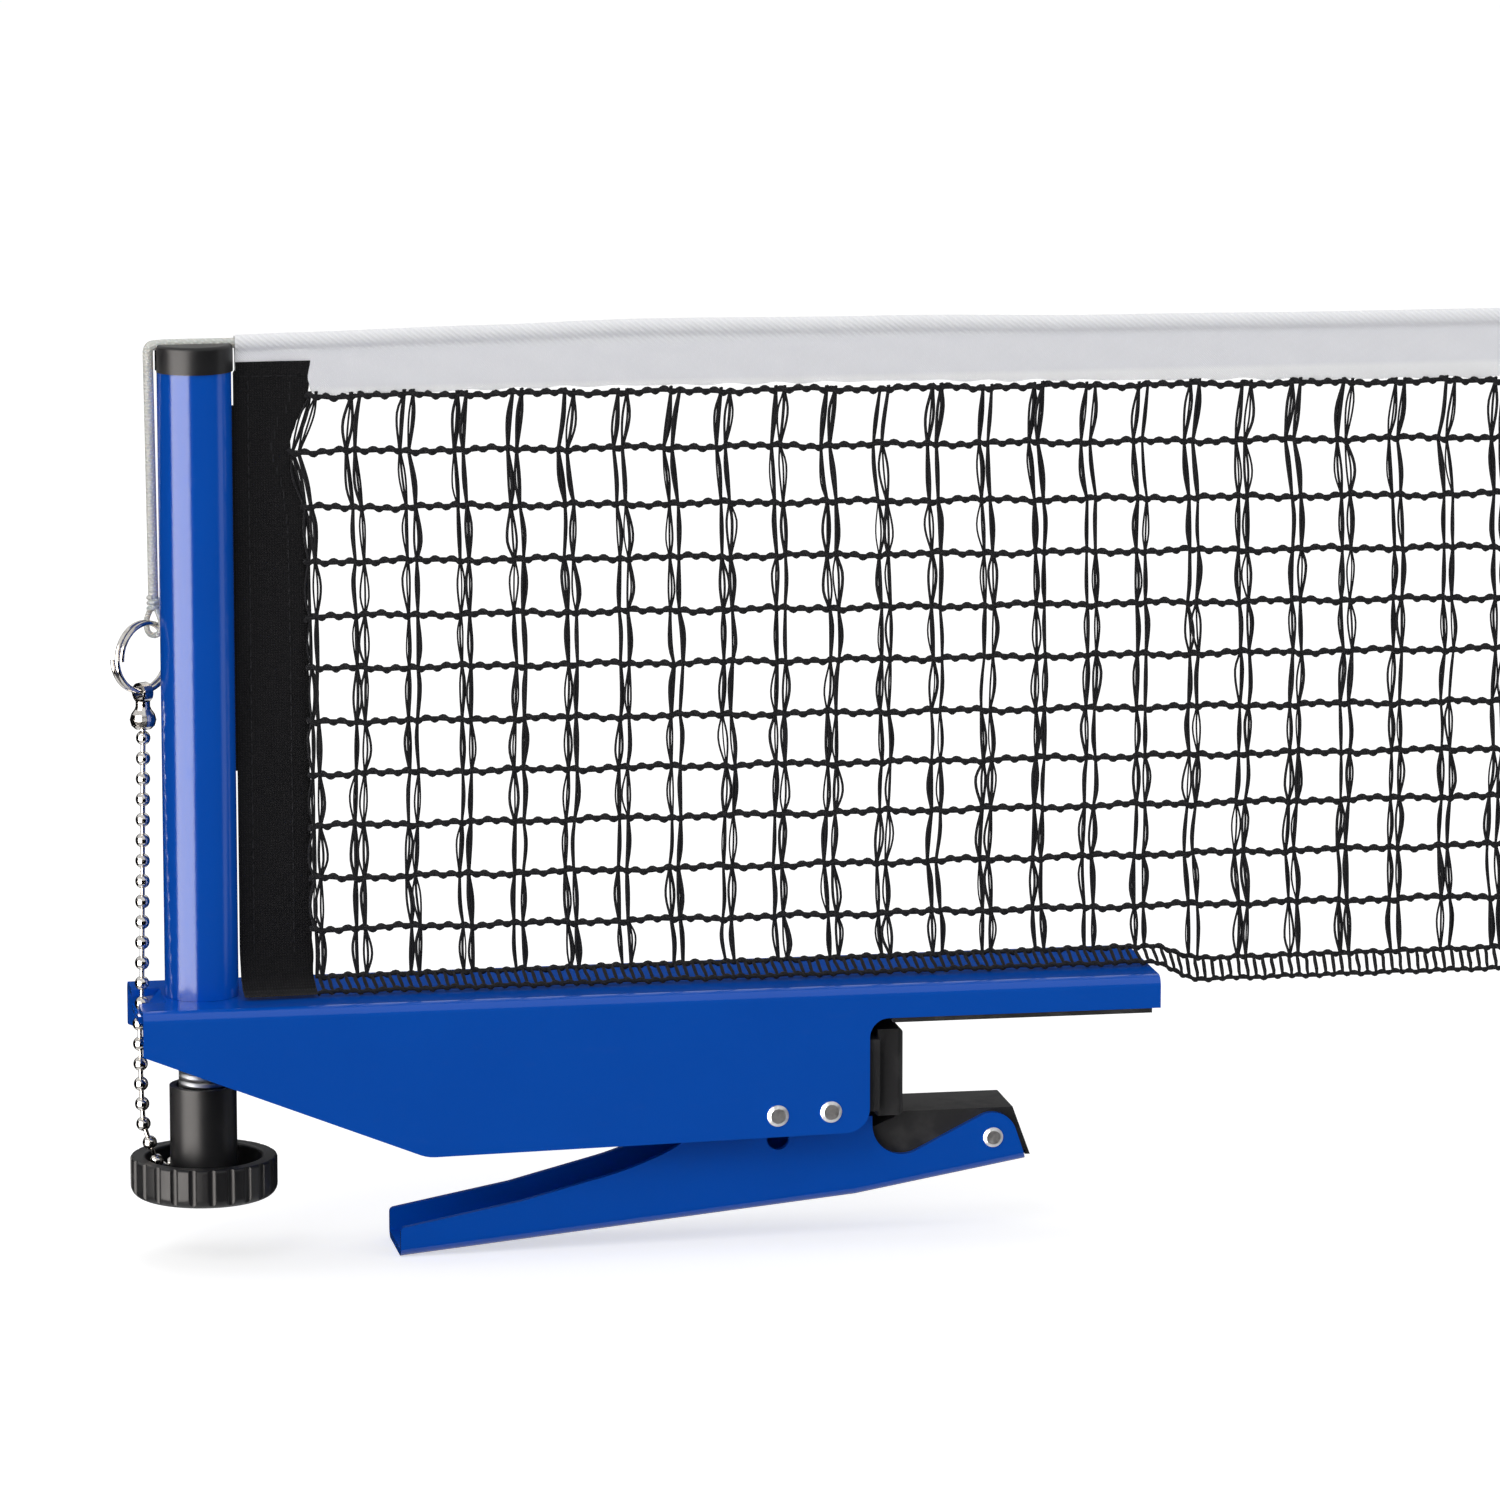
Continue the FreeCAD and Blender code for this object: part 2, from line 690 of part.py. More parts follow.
# Lever with its rubber shoe and spring
def make_lever():
    body = new_body("lever", -S.pivot_reach, 0, -S.pivot_depth)
    half = S.lever_width / 2
    handle_bottom = (-S.handle_length, -S.handle_drop)
    handle_top = (-S.handle_length, -S.handle_drop + S.handle_wall)
    belly = (S.belly_length, -S.belly_drop)
    toe_bottom = (S.toe_length, -S.toe_drop)
    toe_top = (S.toe_top_length, -S.toe_top_drop)
    throat = (S.throat_length, -S.throat_drop)
    shoulder = (-S.shoulder_length, -S.shoulder_drop)
    rail_near = (-S.rail_near_length, -S.rail_near_drop)
    rail_far = (-S.rail_far_length, -S.rail_far_drop)
    ear_right = (S.ear_half_width, S.ear_height)
    ear_left = (-S.ear_half_width, S.ear_height)
    side = [
        handle_top,
        handle_bottom,
        belly,
        toe_bottom,
        toe_top,
        throat,
        (S.throat_length, seat_rise),
        (S.ear_half_width, seat_rise),
        ear_right,
        ear_left,
        shoulder,
        rail_near,
        rail_far,
    ]
    pad(body, outline(body, "side", "XZ_Plane", side), S.lever_width, symmetric=True)

    def rounded(name, corners, radius):
        softened(body, name, [(across, 0, up) for across, up in corners], radius)

    rounded("handle_corner", [handle_top], S.steel_sheet * 0.7)
    rounded("toe_top", [toe_top], S.toe_radius)
    rounded("throat", [throat], S.lever_throat_radius)
    rounded("ear", [ear_right, ear_left], S.ear_radius)
    rounded("seat", [(S.ear_half_width, seat_rise)], S.steel_sheet)
    rounded("shoulder", [shoulder], S.shoulder_radius)
    rounded("rails", [rail_near, rail_far], S.rail_radius)
    middle = S.jaw_pin_length
    folds = [(along, side, floor_bottom(along)) for along in (0, middle) for side in (half, -half)]
    softened(body, "folds", folds, S.lever_fold_radius)
    behind = -S.handle_length * 1.2
    ahead = S.toe_length * 1.2
    above = S.ear_height * 2
    channel = [
        (behind, floor_top(behind)),
        (S.belly_length, floor_top(S.belly_length)),
        (ahead, floor_top(ahead)),
        (ahead, above),
        (behind, above),
    ]
    width = S.lever_width - S.steel_sheet * 2
    pocket(body, outline(body, "channel", "XZ_Plane", channel), width, symmetric=True)
    holes = [
        (0, 0, S.rivet_radius + S.running_gap),
        (S.sight_hole_length, -S.sight_hole_drop, S.sight_hole_radius),
        (S.jaw_pin_length, -S.jaw_pin_drop, S.rivet_radius + S.fixed_gap),
    ]
    pocket(body, circles(body, "holes", "XZ_Plane", holes), S.lever_width * 2, symmetric=True)
    return body


def make_jaw_shoe():
    body = new_body("jaw_shoe", -S.pivot_reach, 0, -S.pivot_depth)
    lift = S.running_gap * 2
    toe = S.toe_length + lift
    side = [
        (S.shoe_start, -S.shoe_drop),
        (S.shoe_end, -S.shoe_drop),
        (S.toe_length + S.shoe_lip, -S.shoe_lip_drop),
        (toe, -S.shoe_lip_drop),
        (toe, floor_top(toe) + lift),
        (S.shoe_heel_length, floor_top(S.shoe_heel_length) + lift),
        (S.shoe_heel_length, -S.shoe_heel_drop),
        (S.shoe_ramp_length, -S.shoe_ramp_drop),
    ]
    width = S.lever_width - S.steel_sheet * 2 - S.running_gap * 2
    pad(body, outline(body, "side", "XZ_Plane", side), width, symmetric=True)
    hole = [(S.jaw_pin_length, -S.jaw_pin_drop, S.rivet_radius + S.fixed_gap)]
    pocket(body, circles(body, "pin_hole", "XZ_Plane", hole), S.lever_width, symmetric=True)
    return body


def make_lever_spring():
    """A torsion spring about the pivot: one leg over the stop spacer, one down on the lever's floor."""
    wire = float(S.spring_wire) / 2
    radius = float(S.stop_pin_rise + S.stop_spacer_radius + S.running_gap * 2) + wire
    pitch = float(S.spring_pitch)
    leg_turn = float(S.spring_leg_angle) / 360
    turns = float(S.spring_turns) + leg_turn
    quarter = math.pi / 2
    arcs = coil_arcs(radius, pitch, quarter, turns)
    start, start_way = coil_place(radius, pitch, quarter)
    end, end_way = coil_place(radius, pitch, quarter + 2 * math.pi * turns)
    fixed_end = start - start_way * (float(S.spring_fixed_leg) / abs(start_way.x))
    slope = float(handle_slope)
    corner = wire * math.cos(math.radians(float(S.spring_leg_angle)) - math.atan(slope))
    reach = end.y - float(floor_top(end.x)) - (corner + float(S.soft_gap)) * math.hypot(1, slope)
    leg = reach / (abs(end_way.y) - slope * abs(end_way.x))
    free_end = end + end_way * leg
    curves = [Part.LineSegment(fixed_end, start)] + arcs + [Part.LineSegment(end, free_end)]
    solid = wire_solid("lever_spring", curves, wire)
    print_coil_gap("lever_spring", radius, pitch, turns, wire)
    middle = pitch * (quarter / (2 * math.pi) + turns / 2)
    upright = FreeCAD.Rotation(FreeCAD.Vector(1, 0, 0), 90)
    place = vector(-S.pivot_reach, middle, -S.pivot_depth)
    return fixed_piece("lever_spring", solid, FreeCAD.Placement(place, upright))


# Height adjuster
def make_spigot():
    body = new_body("post_spigot", -S.post_reach)
    outer = tube_bore - S.running_gap
    top = web_top + S.spigot_length
    profile = [
        (screw_bore, -S.spigot_bottom),
        (S.spigot_thread_radius, -S.spigot_bottom),
        (S.spigot_thread_radius, web_top),
        (outer, web_top),
        (outer, top),
        (screw_bore, top),
    ]
    lathe(body, "profile", profile)
    pin = [(0, web_top + S.guide_pin_height, S.guide_pin_radius + S.fixed_gap)]
    pocket(body, circles(body, "pin_hole", "XZ_Plane", pin), tube_bore)
    return body


def make_guide_pin():
    start = screw_bore + S.running_gap * 2
    end = S.tube_radius - S.running_gap * 4
    profile = [(0, start), (S.guide_pin_radius, start), (S.guide_pin_radius, end), (0, end)]
    return turned("guide_pin", profile, -S.post_reach, 0, web_top + S.guide_pin_height, sideways=True)


def make_nut(label, across_flats, bore, low, height):
    body = new_body(label, -S.post_reach)
    pad(body, hexagon(body, "sides", "XY_Plane", across_flats, low), height)
    pocket(body, circles(body, "bore", "XY_Plane", [(0, 0, bore)], low), height, backwards=True)
    return body


def make_adjuster_rings():
    """Round pieces on the adjuster's axis."""
    thread = S.spigot_thread_radius + S.fixed_gap
    washer_low = web_underside - S.spigot_washer_thickness
    washer = tube_profile(thread, S.spigot_washer_radius, washer_low, web_underside)
    turned("spigot_washer", washer, -S.post_reach)
    make_nut("spigot_nut", S.spigot_nut_across, thread, washer_low - S.spigot_nut_height, S.spigot_nut_height)
    nut_low = web_top + S.lift_nut_start
    nut = tube_profile(screw_bore, tube_bore - S.fixed_gap, nut_low, nut_low + S.lift_nut_height)
    turned("lift_nut", nut, -S.post_reach)
    clip_low = web_top + S.spigot_length + S.running_gap
    clip_bore = S.screw_radius + S.fixed_gap
    clip = tube_profile(clip_bore, S.clip_radius, clip_low, clip_low + S.clip_height)
    turned("screw_clip", clip, -S.post_reach)
    thrust = tube_profile(clip_bore, S.thrust_washer_radius, -washer_bottom, -washer_top)
    turned("thrust_washer", thrust, -S.post_reach)


def make_adjusting_screw():
    body = new_body("adjusting_screw", -S.post_reach)
    head_low = -knob_bottom + S.fixed_gap * 10
    head_top = head_low + S.screw_head_height
    pad(body, hexagon(body, "head", "XY_Plane", S.screw_head_across, head_low), S.screw_head_height)
    shank = circles(body, "shank", "XY_Plane", [(0, 0, S.screw_radius)], head_top)
    pad(body, shank, S.screw_top - head_top)
    tip = [(S.screw_radius, 0, S.screw_top)]
    softened(body, "tip", tip, S.screw_radius * 0.25, "Chamfer")
    return body


def make_knob():
    body = new_body("knob", -S.post_reach)
    floor = -knob_bottom + S.knob_floor
    shank = S.screw_radius + S.fixed_gap
    profile = [
        (shank, -knob_bottom),
        (S.knob_radius, -knob_bottom),
        (S.knob_radius, -S.knob_rim_top),
        (S.knob_dish_radius, -S.knob_rim_top),
        (S.knob_dish_radius, floor),
        (S.knob_sleeve_radius, floor),
        (S.knob_sleeve_radius, -S.knob_sleeve_top),
        (S.knob_sleeve_bore, -S.knob_sleeve_top),
        (S.knob_sleeve_bore, -washer_bottom),
        (shank, -washer_bottom),
    ]
    lathe(body, "profile", profile)
    softened(body, "lower_edge", [(S.knob_radius, 0, -knob_bottom)], S.knob_edge_radius)
    rim = [(S.knob_radius, 0, -S.knob_rim_top), (S.knob_dish_radius, 0, -S.knob_rim_top)]
    softened(body, "rim", rim, S.knob_groove_depth)
    head = hexagon(body, "head_pocket", "XY_Plane", S.screw_head_across + S.fixed_gap * 2, -knob_bottom)
    pocket(body, head, S.screw_head_height + S.fixed_gap * 10, backwards=True)
    centre = S.knob_radius + S.knob_groove_radius - S.knob_groove_depth
    cut = circles(body, "groove", "XY_Plane", [(centre, 0, S.knob_groove_radius)], -knob_bottom)
    groove = pocket(body, cut, S.knob_height, backwards=True)
    pattern = body.newObject("PartDesign::PolarPattern", "knob_grooves_around")
    pattern.Originals = [groove]
    pattern.Axis = (origin_feature(body, "Z_Axis"), [""])
    pattern.Angle = 360
    bind(pattern, "Occurrences", S.knob_grooves)
    body.Tip = pattern
    document.recompute()
    return body


# Post
def make_post_tube():
    body = new_body("post_tube", -S.post_reach)
    ring = circles(body, "ring", "XY_Plane", [(0, 0, S.tube_radius), (0, 0, tube_bore)], tube_bottom)
    pad(body, ring, S.tube_length)
    slot_half = S.hem_slot_width / 2
    hem = rectangle(body, "hem_slot", "YZ_Plane", -slot_half, slot_half, web_top + S.hem_slot_start, tube_top * 1.1)
    pocket(body, hem, S.tube_radius * 2, backwards=True)
    pin_half = S.guide_pin_radius + S.running_gap * 2
    pin_top = web_top + S.guide_pin_height + S.guide_pin_radius + S.soft_gap
    guide = rectangle(body, "guide_slot", "XZ_Plane", -pin_half, pin_half, 0, pin_top)
    pocket(body, guide, S.tube_radius * 2)
    return body


def make_post_cap():
    body = new_body("post_cap", -S.post_reach)
    top = tube_top + S.cap_height
    plug = tube_bore - S.fixed_gap
    profile = [
        (0, tube_top - S.cap_plug_length),
        (plug, tube_top - S.cap_plug_length),
        (plug, tube_top),
        (S.cap_radius, tube_top),
        (S.cap_radius, top),
        (0, top),
    ]
    lathe(body, "profile", profile)
    softened(body, "top_edge", [(S.cap_radius, 0, top)], S.cap_rounding)
    edge = -S.cap_radius + S.cap_groove_inset
    groove = [
        (S.cap_radius * 2, cord_groove_floor),
        (edge, cord_groove_floor),
        (edge, tube_top),
        (-S.cap_radius * 2, tube_top),
        (-S.cap_radius * 2, top * 1.1),
        (S.cap_radius * 2, top * 1.1),
    ]
    width = (S.cord_radius + S.soft_gap) * 2
    pocket(body, outline(body, "cord_groove", "XZ_Plane", groove), width, symmetric=True)
    softened(body, "groove_edge", [(edge, 0, cord_groove_floor)], S.cord_bend - S.cord_radius - S.soft_gap)
    return body


def make_edge_rod():
    low = web_top + S.hem_slot_start + S.soft_gap
    return turned("edge_rod", tube_profile(0, S.edge_rod_radius, low, low + S.edge_rod_length), -S.post_reach)


# Net
def make_net_sleeve():
    """The woven edge sleeve: a panel beside the post and a loop round the rod inside it."""
    body = new_body("net_sleeve", -S.post_reach)
    half = S.sleeve_thickness / 2
    low = web_top + S.hem_slot_start + S.soft_gap
    loop_bore = S.edge_rod_radius + S.running_gap * 2
    loop_radius = loop_bore + S.sleeve_loop_wall
    beside_tube = S.tube_radius + S.soft_gap
    beside_cap = S.cap_radius + S.soft_gap
    edge = S.post_reach - S.sleeve_edge
    panel = [
        (beside_tube, web_top + S.sleeve_bottom_gap),
        (edge, web_top + S.sleeve_bottom_gap),
        (edge, S.sleeve_top),
        (beside_cap, S.sleeve_top),
        (beside_cap, tube_top - S.soft_gap),
        (beside_tube, tube_top - S.soft_gap),
    ]
    pad(body, outline(body, "panel", "XZ_Plane", panel), S.sleeve_thickness, symmetric=True)
    inside = loop_bore + S.sleeve_loop_wall / 2
    tongue = rectangle(body, "tongue", "XZ_Plane", inside, beside_tube + half, low, low + S.edge_rod_length)
    pad(body, tongue, S.sleeve_thickness, symmetric=True)
    pad(body, circles(body, "loop", "XY_Plane", [(0, 0, loop_radius)], low), S.edge_rod_length)
    pocket(body, circles(body, "bore", "XY_Plane", [(0, 0, loop_bore)], low), S.edge_rod_length, backwards=True)
    return body


def mesh_end():
    return float(S.mesh_columns * S.mesh_pitch - S.mesh_start)


def band_top_at(along):
    """Height of the net's lower edge: it stands on the bracket and hangs lower beyond the arm."""
    rest = float(web_top + S.soft_gap) + math.sqrt(
        float(S.band_width) ** 2 - float(S.band_front - S.mesh_lean) ** 2)
    start = float(S.arm_length) + float(S.soft_gap)
    share = min(max((along - start) / float(S.band_transition), 0.0), 1.0)
    return rest - float(S.band_sag) * share


def make_net_mesh():
    """A flat net: one face with a hole for each of its meshes."""
    top = float(S.mesh_top)
    cord = float(S.mesh_cord) / 2
    strand = float(S.mesh_strand) / 2
    start = -float(S.sleeve_edge) + float(S.soft_gap)
    end = mesh_end()
    pitch = float(S.mesh_pitch)
    count = int(float(S.mesh_columns))
    columns = [number * pitch - float(S.mesh_start) for number in range(count + 1)]
    columns[0] = start + strand
    gap = float(S.soft_gap) / 2
    turning = [float(S.arm_length + S.soft_gap), float(S.arm_length + S.soft_gap + S.band_transition)]
    lower_edge = [start] + turning + [end + strand]
    border = [vector(start, 0, top + cord), vector(end + strand, 0, top + cord)]
    border += [vector(along, 0, band_top_at(along) + gap) for along in reversed(lower_edge)]
    wires = [Part.makePolygon(border + border[:1])]
    for left, right in zip(columns[:-1], columns[1:]):
        for mesh_row in range(int(float(S.mesh_rows))):
            high = top - mesh_row * float(S.mesh_row_pitch) - cord
            low = high + 2 * cord - float(S.mesh_row_pitch)
            lows = [low, low]
            if mesh_row == int(float(S.mesh_rows)) - 1:
                lows = [band_top_at(along) + gap + 2 * cord for along in (left, right)]
            corners = [
                vector(left + strand, 0, high),
                vector(right - strand, 0, high),
                vector(right - strand, 0, lows[1]),
                vector(left + strand, 0, lows[0]),
            ]
            wires.append(Part.makePolygon(corners + corners[:1]))
    thickness = float(S.mesh_thickness)
    net = Part.makeFace(wires, "Part::FaceMakerBullseye")
    net.translate(vector(0, -thickness / 2, 0))
    solid = net.extrude(vector(0, thickness, 0))
    lean = math.degrees(math.asin(float(S.mesh_lean) / (top - band_top_at(start))))
    solid.rotate(vector(0, 0, top), vector(1, 0, 0), -lean)
    print(f"net_mesh: {len(wires) - 1} meshes, leaning {lean:.2f} degrees")
    return fixed_piece("net_mesh", solid)


def band_section(along, top, front):
    """A thin upright or leaning strip section at one place along the net."""
    thickness = float(S.band_thickness) / 2
    width = float(S.band_width)
    back = -float(S.mesh_lean)
    forward = front / width
    down = math.sqrt(1 - forward ** 2)
    corners = []
    for depth, side in ((0, -1), (0, 1), (1, 1), (1, -1)):
        across = back - forward * width * depth + side * thickness * down
        up = top - down * width * depth - side * thickness * forward
        corners.append(vector(along, across, up))
    return Part.makePolygon(corners + corners[:1])


def make_net_bottom_band():
    """The strip along the net's lower edge: leaning on the bracket, then hanging upright."""
    start = -float(S.sleeve_edge) + float(S.soft_gap)
    arm_end = float(S.arm_length) + float(S.soft_gap)
    hanging = arm_end + float(S.band_transition)
    front = float(S.band_front - S.mesh_lean)
    lift = float(S.band_thickness) / 2
    sections = [
        band_section(start, band_top_at(start) + lift - float(S.soft_gap), front),
        band_section(arm_end, band_top_at(arm_end) + lift - float(S.soft_gap), front),
        band_section(hanging, band_top_at(hanging) - float(S.soft_gap), 0.0),
        band_section(mesh_end(), band_top_at(mesh_end()) - float(S.soft_gap), 0.0),
    ]
    return fixed_piece("net_bottom_band", Part.makeLoft(sections, True, True))


def make_net_tape():
    """The white tape: a flat strip under a roll that holds the cord."""
    body = new_body("net_tape")
    start = -S.post_reach + S.cap_radius + S.soft_gap
    length = S.mesh_columns * S.mesh_pitch - S.mesh_start + S.mesh_strand / 2 - start
    half = S.tape_thickness / 2
    strip = rectangle(body, "strip", "YZ_Plane", -half, half, S.tape_bottom, S.hem_height, start)
    pad(body, strip, length)
    roll = circles(body, "roll", "YZ_Plane", [(0, S.hem_height, S.tape_roll_radius)], start)
    pad(body, roll, length)
    bore = circles(body, "bore", "YZ_Plane", [(0, S.hem_height, S.cord_radius + S.running_gap)], start)
    pocket(body, bore, length, backwards=True)
    left = start * 2
    right = -S.sleeve_edge + S.soft_gap
    high = S.sleeve_top + S.soft_gap
    sleeve = rectangle(body, "sleeve_corner", "XZ_Plane", left, right, S.tape_bottom - half, high)
    pocket(body, sleeve, S.tape_roll_radius * 4, symmetric=True)
    return body


def make_hem_cord():
    body = new_body("hem_cord")
    start = -S.post_reach + S.cap_radius + S.soft_gap
    length = S.mesh_columns * S.mesh_pitch - S.mesh_start + S.mesh_strand / 2 - start
    pad(body, circles(body, "section", "YZ_Plane", [(0, S.hem_height, S.cord_radius)], start), length)
    return body


# Tension cord, ring, bell and chain at the outer side of the post
def ring_centre():
    return vector(-S.post_reach - S.ring_offset, S.ring_set_back, S.ring_height)


def ring_turning():
    """Stands a piece that was made about +Z on its side and turns it with the ring."""
    upright = FreeCAD.Rotation(FreeCAD.Vector(1, 0, 0), 90)
    return FreeCAD.Rotation(FreeCAD.Vector(0, 0, 1), float(S.ring_turned)) * upright


def ring_point(angle):
    """The middle between the ring's turns, at degrees up from its inner side."""
    turn = math.radians(float(angle))
    place = coil_place(float(S.ring_radius), float(S.ring_pitch), turn)[0]
    return ring_centre() + ring_turning().multVec(place)


def make_tension_cord():
    """Out of the tape, over the cap's groove and down beside the tube to the ring."""
    radius = float(S.cord_radius)
    bend = float(S.cord_bend)
    start = vector(-S.post_reach + S.cap_radius + S.soft_gap, 0, S.hem_height)
    corner = vector(-cord_line_reach, 0, S.hem_height)
    end = ring_point(S.cord_hold_angle)
    end.z = float(S.ring_height + S.ring_radius + S.ring_wire / 2 + S.soft_gap)
    first_way = (corner - start).normalize()
    second_way = (end - corner).normalize()
    half_turn = first_way.getAngle(second_way) / 2
    cut = bend * math.tan(half_turn)
    before = corner - first_way * cut
    after = corner + second_way * cut
    curves = [Part.LineSegment(start, before), tangent_arc(before, corner, after), Part.LineSegment(after, end)]
    print_radii("tension_cord", curves)
    return fixed_piece("tension_cord", wire_solid("tension_cord", curves, radius))


def make_split_ring():
    radius = float(S.ring_radius)
    wire = float(S.ring_wire) / 2
    pitch = float(S.ring_pitch)
    turns = float(S.ring_turns)
    solid = wire_solid("split_ring", coil_arcs(radius, pitch, -math.pi, turns), wire)
    print_coil_gap("split_ring", radius, pitch, turns, wire)
    turning = ring_turning()
    back = turning.multVec(FreeCAD.Vector(0, 0, -pitch * (turns / 2 - 0.5)))
    return fixed_piece("split_ring", solid, FreeCAD.Placement(ring_centre() + back, turning))


def make_chain_connector():
    """A bell that holds the chain's last bead; its eyelet is a short tube hung on the ring's lowest point."""
    lowest = ring_point(-90)
    half = S.eyelet_width / 2
    eyelet = new_body("connector_eyelet", lowest.x, lowest.y, lowest.z - S.eyelet_drop)
    lathe(eyelet, "profile", tube_profile(S.eyelet_bore, S.eyelet_radius, -half, half))
    sideways = FreeCAD.Rotation(FreeCAD.Vector(0, 1, 0), 90)
    eyelet.Placement.Rotation = FreeCAD.Rotation(FreeCAD.Vector(0, 0, 1), float(S.ring_turned)) * sideways
    neck = bell_top + (S.eyelet_radius - S.eyelet_bore) / 2
    profile = [
        (0, bell_bottom),
        (S.bell_radius * 0.6, bell_bottom),
        (S.bell_radius * 0.88, bell_bottom + S.bell_height * 0.13),
        (S.bell_radius, bell_bottom + S.bell_height * 0.35),
        (S.bell_radius * 0.88, bell_bottom + S.bell_height * 0.57),
        (S.bell_neck_radius * 1.15, bell_bottom + S.bell_height * 0.75),
        (S.bell_neck_radius, bell_bottom + S.bell_height * 0.86),
        (S.bell_neck_radius, neck),
        (0, neck),
    ]
    bell = turned("connector_bell", profile, lowest.x, lowest.y)
    connector = document.addObject("Part::Fuse", "chain_connector")
    connector.Label = "chain_connector"
    connector.Base = bell
    connector.Tool = eyelet
    return connector


def bead_places(route, first, count):
    """Places a bead's pitch apart, each on the route, starting beyond the first."""
    pitch = float(S.bead_pitch)
    step = 0.01
    places = [first]
    leg = 0
    share = 0.0
    while len(places) < count + 1:
        start, end = route[leg], route[leg + 1]
        share += step / (end - start).Length
        if share >= 1.0:
            leg += 1
            share = 0.0
            if leg == len(route) - 1:
                break
            continue
        spot = start + (end - start) * share
        if (spot - places[-1]).Length >= pitch:
            places.append(spot)
    return places


def make_ball_chain():
    """Beads on links: down from the bell, caught in the hook's slot, its tail in the knob's dish."""
    pitch = float(S.bead_pitch)
    reach = float(chain_reach)
    slot = float(hook_top - S.steel_sheet / 2)
    hooked = FreeCAD.Vector(-reach, 0, slot + pitch / 2)
    below = FreeCAD.Vector(-reach - 0.5, 0, slot - pitch / 2)
    bell = ring_point(-90)
    bell.z = float(bell_bottom)
    upward = (bell - hooked).normalize()
    upper = [hooked + upward * (pitch * number) for number in range(int(float(S.beads_above_hook)) + 1)]
    post = float(S.post_reach)
    rim = float(S.knob_rim_top)
    floor = -float(knob_bottom - S.knob_floor - S.bead_radius - S.soft_gap)
    ring_middle = float(S.knob_dish_radius + S.knob_sleeve_radius) / 2
    route = [
        below,
        FreeCAD.Vector(-reach - 0.4, 0, -rim * 0.45),
        FreeCAD.Vector(-reach, 0, -rim * 0.75),
        FreeCAD.Vector(-post - ring_middle - 1.7, 0, -rim + 3.0),
        FreeCAD.Vector(-post - ring_middle - 0.4, 0, -rim - 0.6),
        FreeCAD.Vector(-post - ring_middle + 0.2, 1.5, floor),
        FreeCAD.Vector(-post - ring_middle + 1.9, 5.6, floor),
        FreeCAD.Vector(-post - ring_middle + 5.6, 8.7, floor),
    ]
    lower = bead_places(route, below, int(float(S.beads_below_hook)) - 1)
    places = list(reversed(upper)) + lower
    beads = [Part.makeSphere(float(S.bead_radius), place) for place in places]
    links = []
    for start, end in zip([bell - vector(0, 0, S.running_gap)] + places[:-1], places):
        links.append(Part.makeCylinder(float(S.link_radius), (end - start).Length, start, end - start))
    solid = beads[0].fuse(beads[1:] + links)
    print(f"ball_chain: {len(places)} beads, {len(solid.Solids)} solid, last bead at {places[-1]}")
    return fixed_piece("ball_chain", solid)


# The whole clamp
def build_all():
    make_bracket()
    make_arm_pad()
    make_stop_pad()
    make_rivets_and_bushes()
    make_lever()
    make_jaw_shoe()
    make_lever_spring()
    make_spigot()
    make_guide_pin()
    make_adjuster_rings()
    make_adjusting_screw()
    make_knob()
    make_post_tube()
    make_post_cap()
    make_edge_rod()
    make_net_sleeve()
    make_net_mesh()
    make_net_bottom_band()
    make_net_tape()
    make_hem_cord()
    make_tension_cord()
    make_split_ring()
    make_chain_connector()
    make_ball_chain()
    document.recompute()


NODES = [
    "bracket", "arm_pad", "stop_pad", "pivot_pin", "stop_pin", "stop_spacer", "spring_bush", "jaw_pin",
    "pivot_spacers", "lever", "jaw_shoe", "lever_spring", "post_spigot", "guide_pin", "spigot_washer",
    "spigot_nut", "lift_nut", "screw_clip", "thrust_washer", "adjusting_screw", "knob", "post_tube",
    "post_cap", "edge_rod", "net_sleeve", "net_mesh", "net_bottom_band", "net_tape", "hem_cord",
    "tension_cord", "split_ring", "chain_connector", "ball_chain",
]


def write_nodes():
    """Checks every object of the document, then writes each piece to its own file."""
    for item in document.Objects:
        if "Invalid" in item.State or "Error" in item.State:
            raise RuntimeError(f"{item.Name} is {item.State}")
    os.makedirs("parts", exist_ok=True)
    for label in NODES:
        piece = document.getObjectsByLabel(label)[0]
        shape = piece.Shape
        if shape.isNull() or not shape.isValid() or not shape.Solids:
            raise RuntimeError(f"{label} has no valid solid")
        shape.exportStep(f"parts/{label}.step")
        print(f"{label}: {len(shape.Solids)} solid, {shape.Volume / 1000:.2f} cm3")


build_all()
write_nodes()
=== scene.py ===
# %% [markdown]
# # A clamp for a table tennis net
# The clamp grips the side of a table with a sprung jaw, and its post holds one end of the net.
# The steel, rubber and plastic parts come from the CAD model and only get their finishes here.
# Cloth, yarn and cord can't be drawn well as solids, so this scene models them anew.

import math
import random

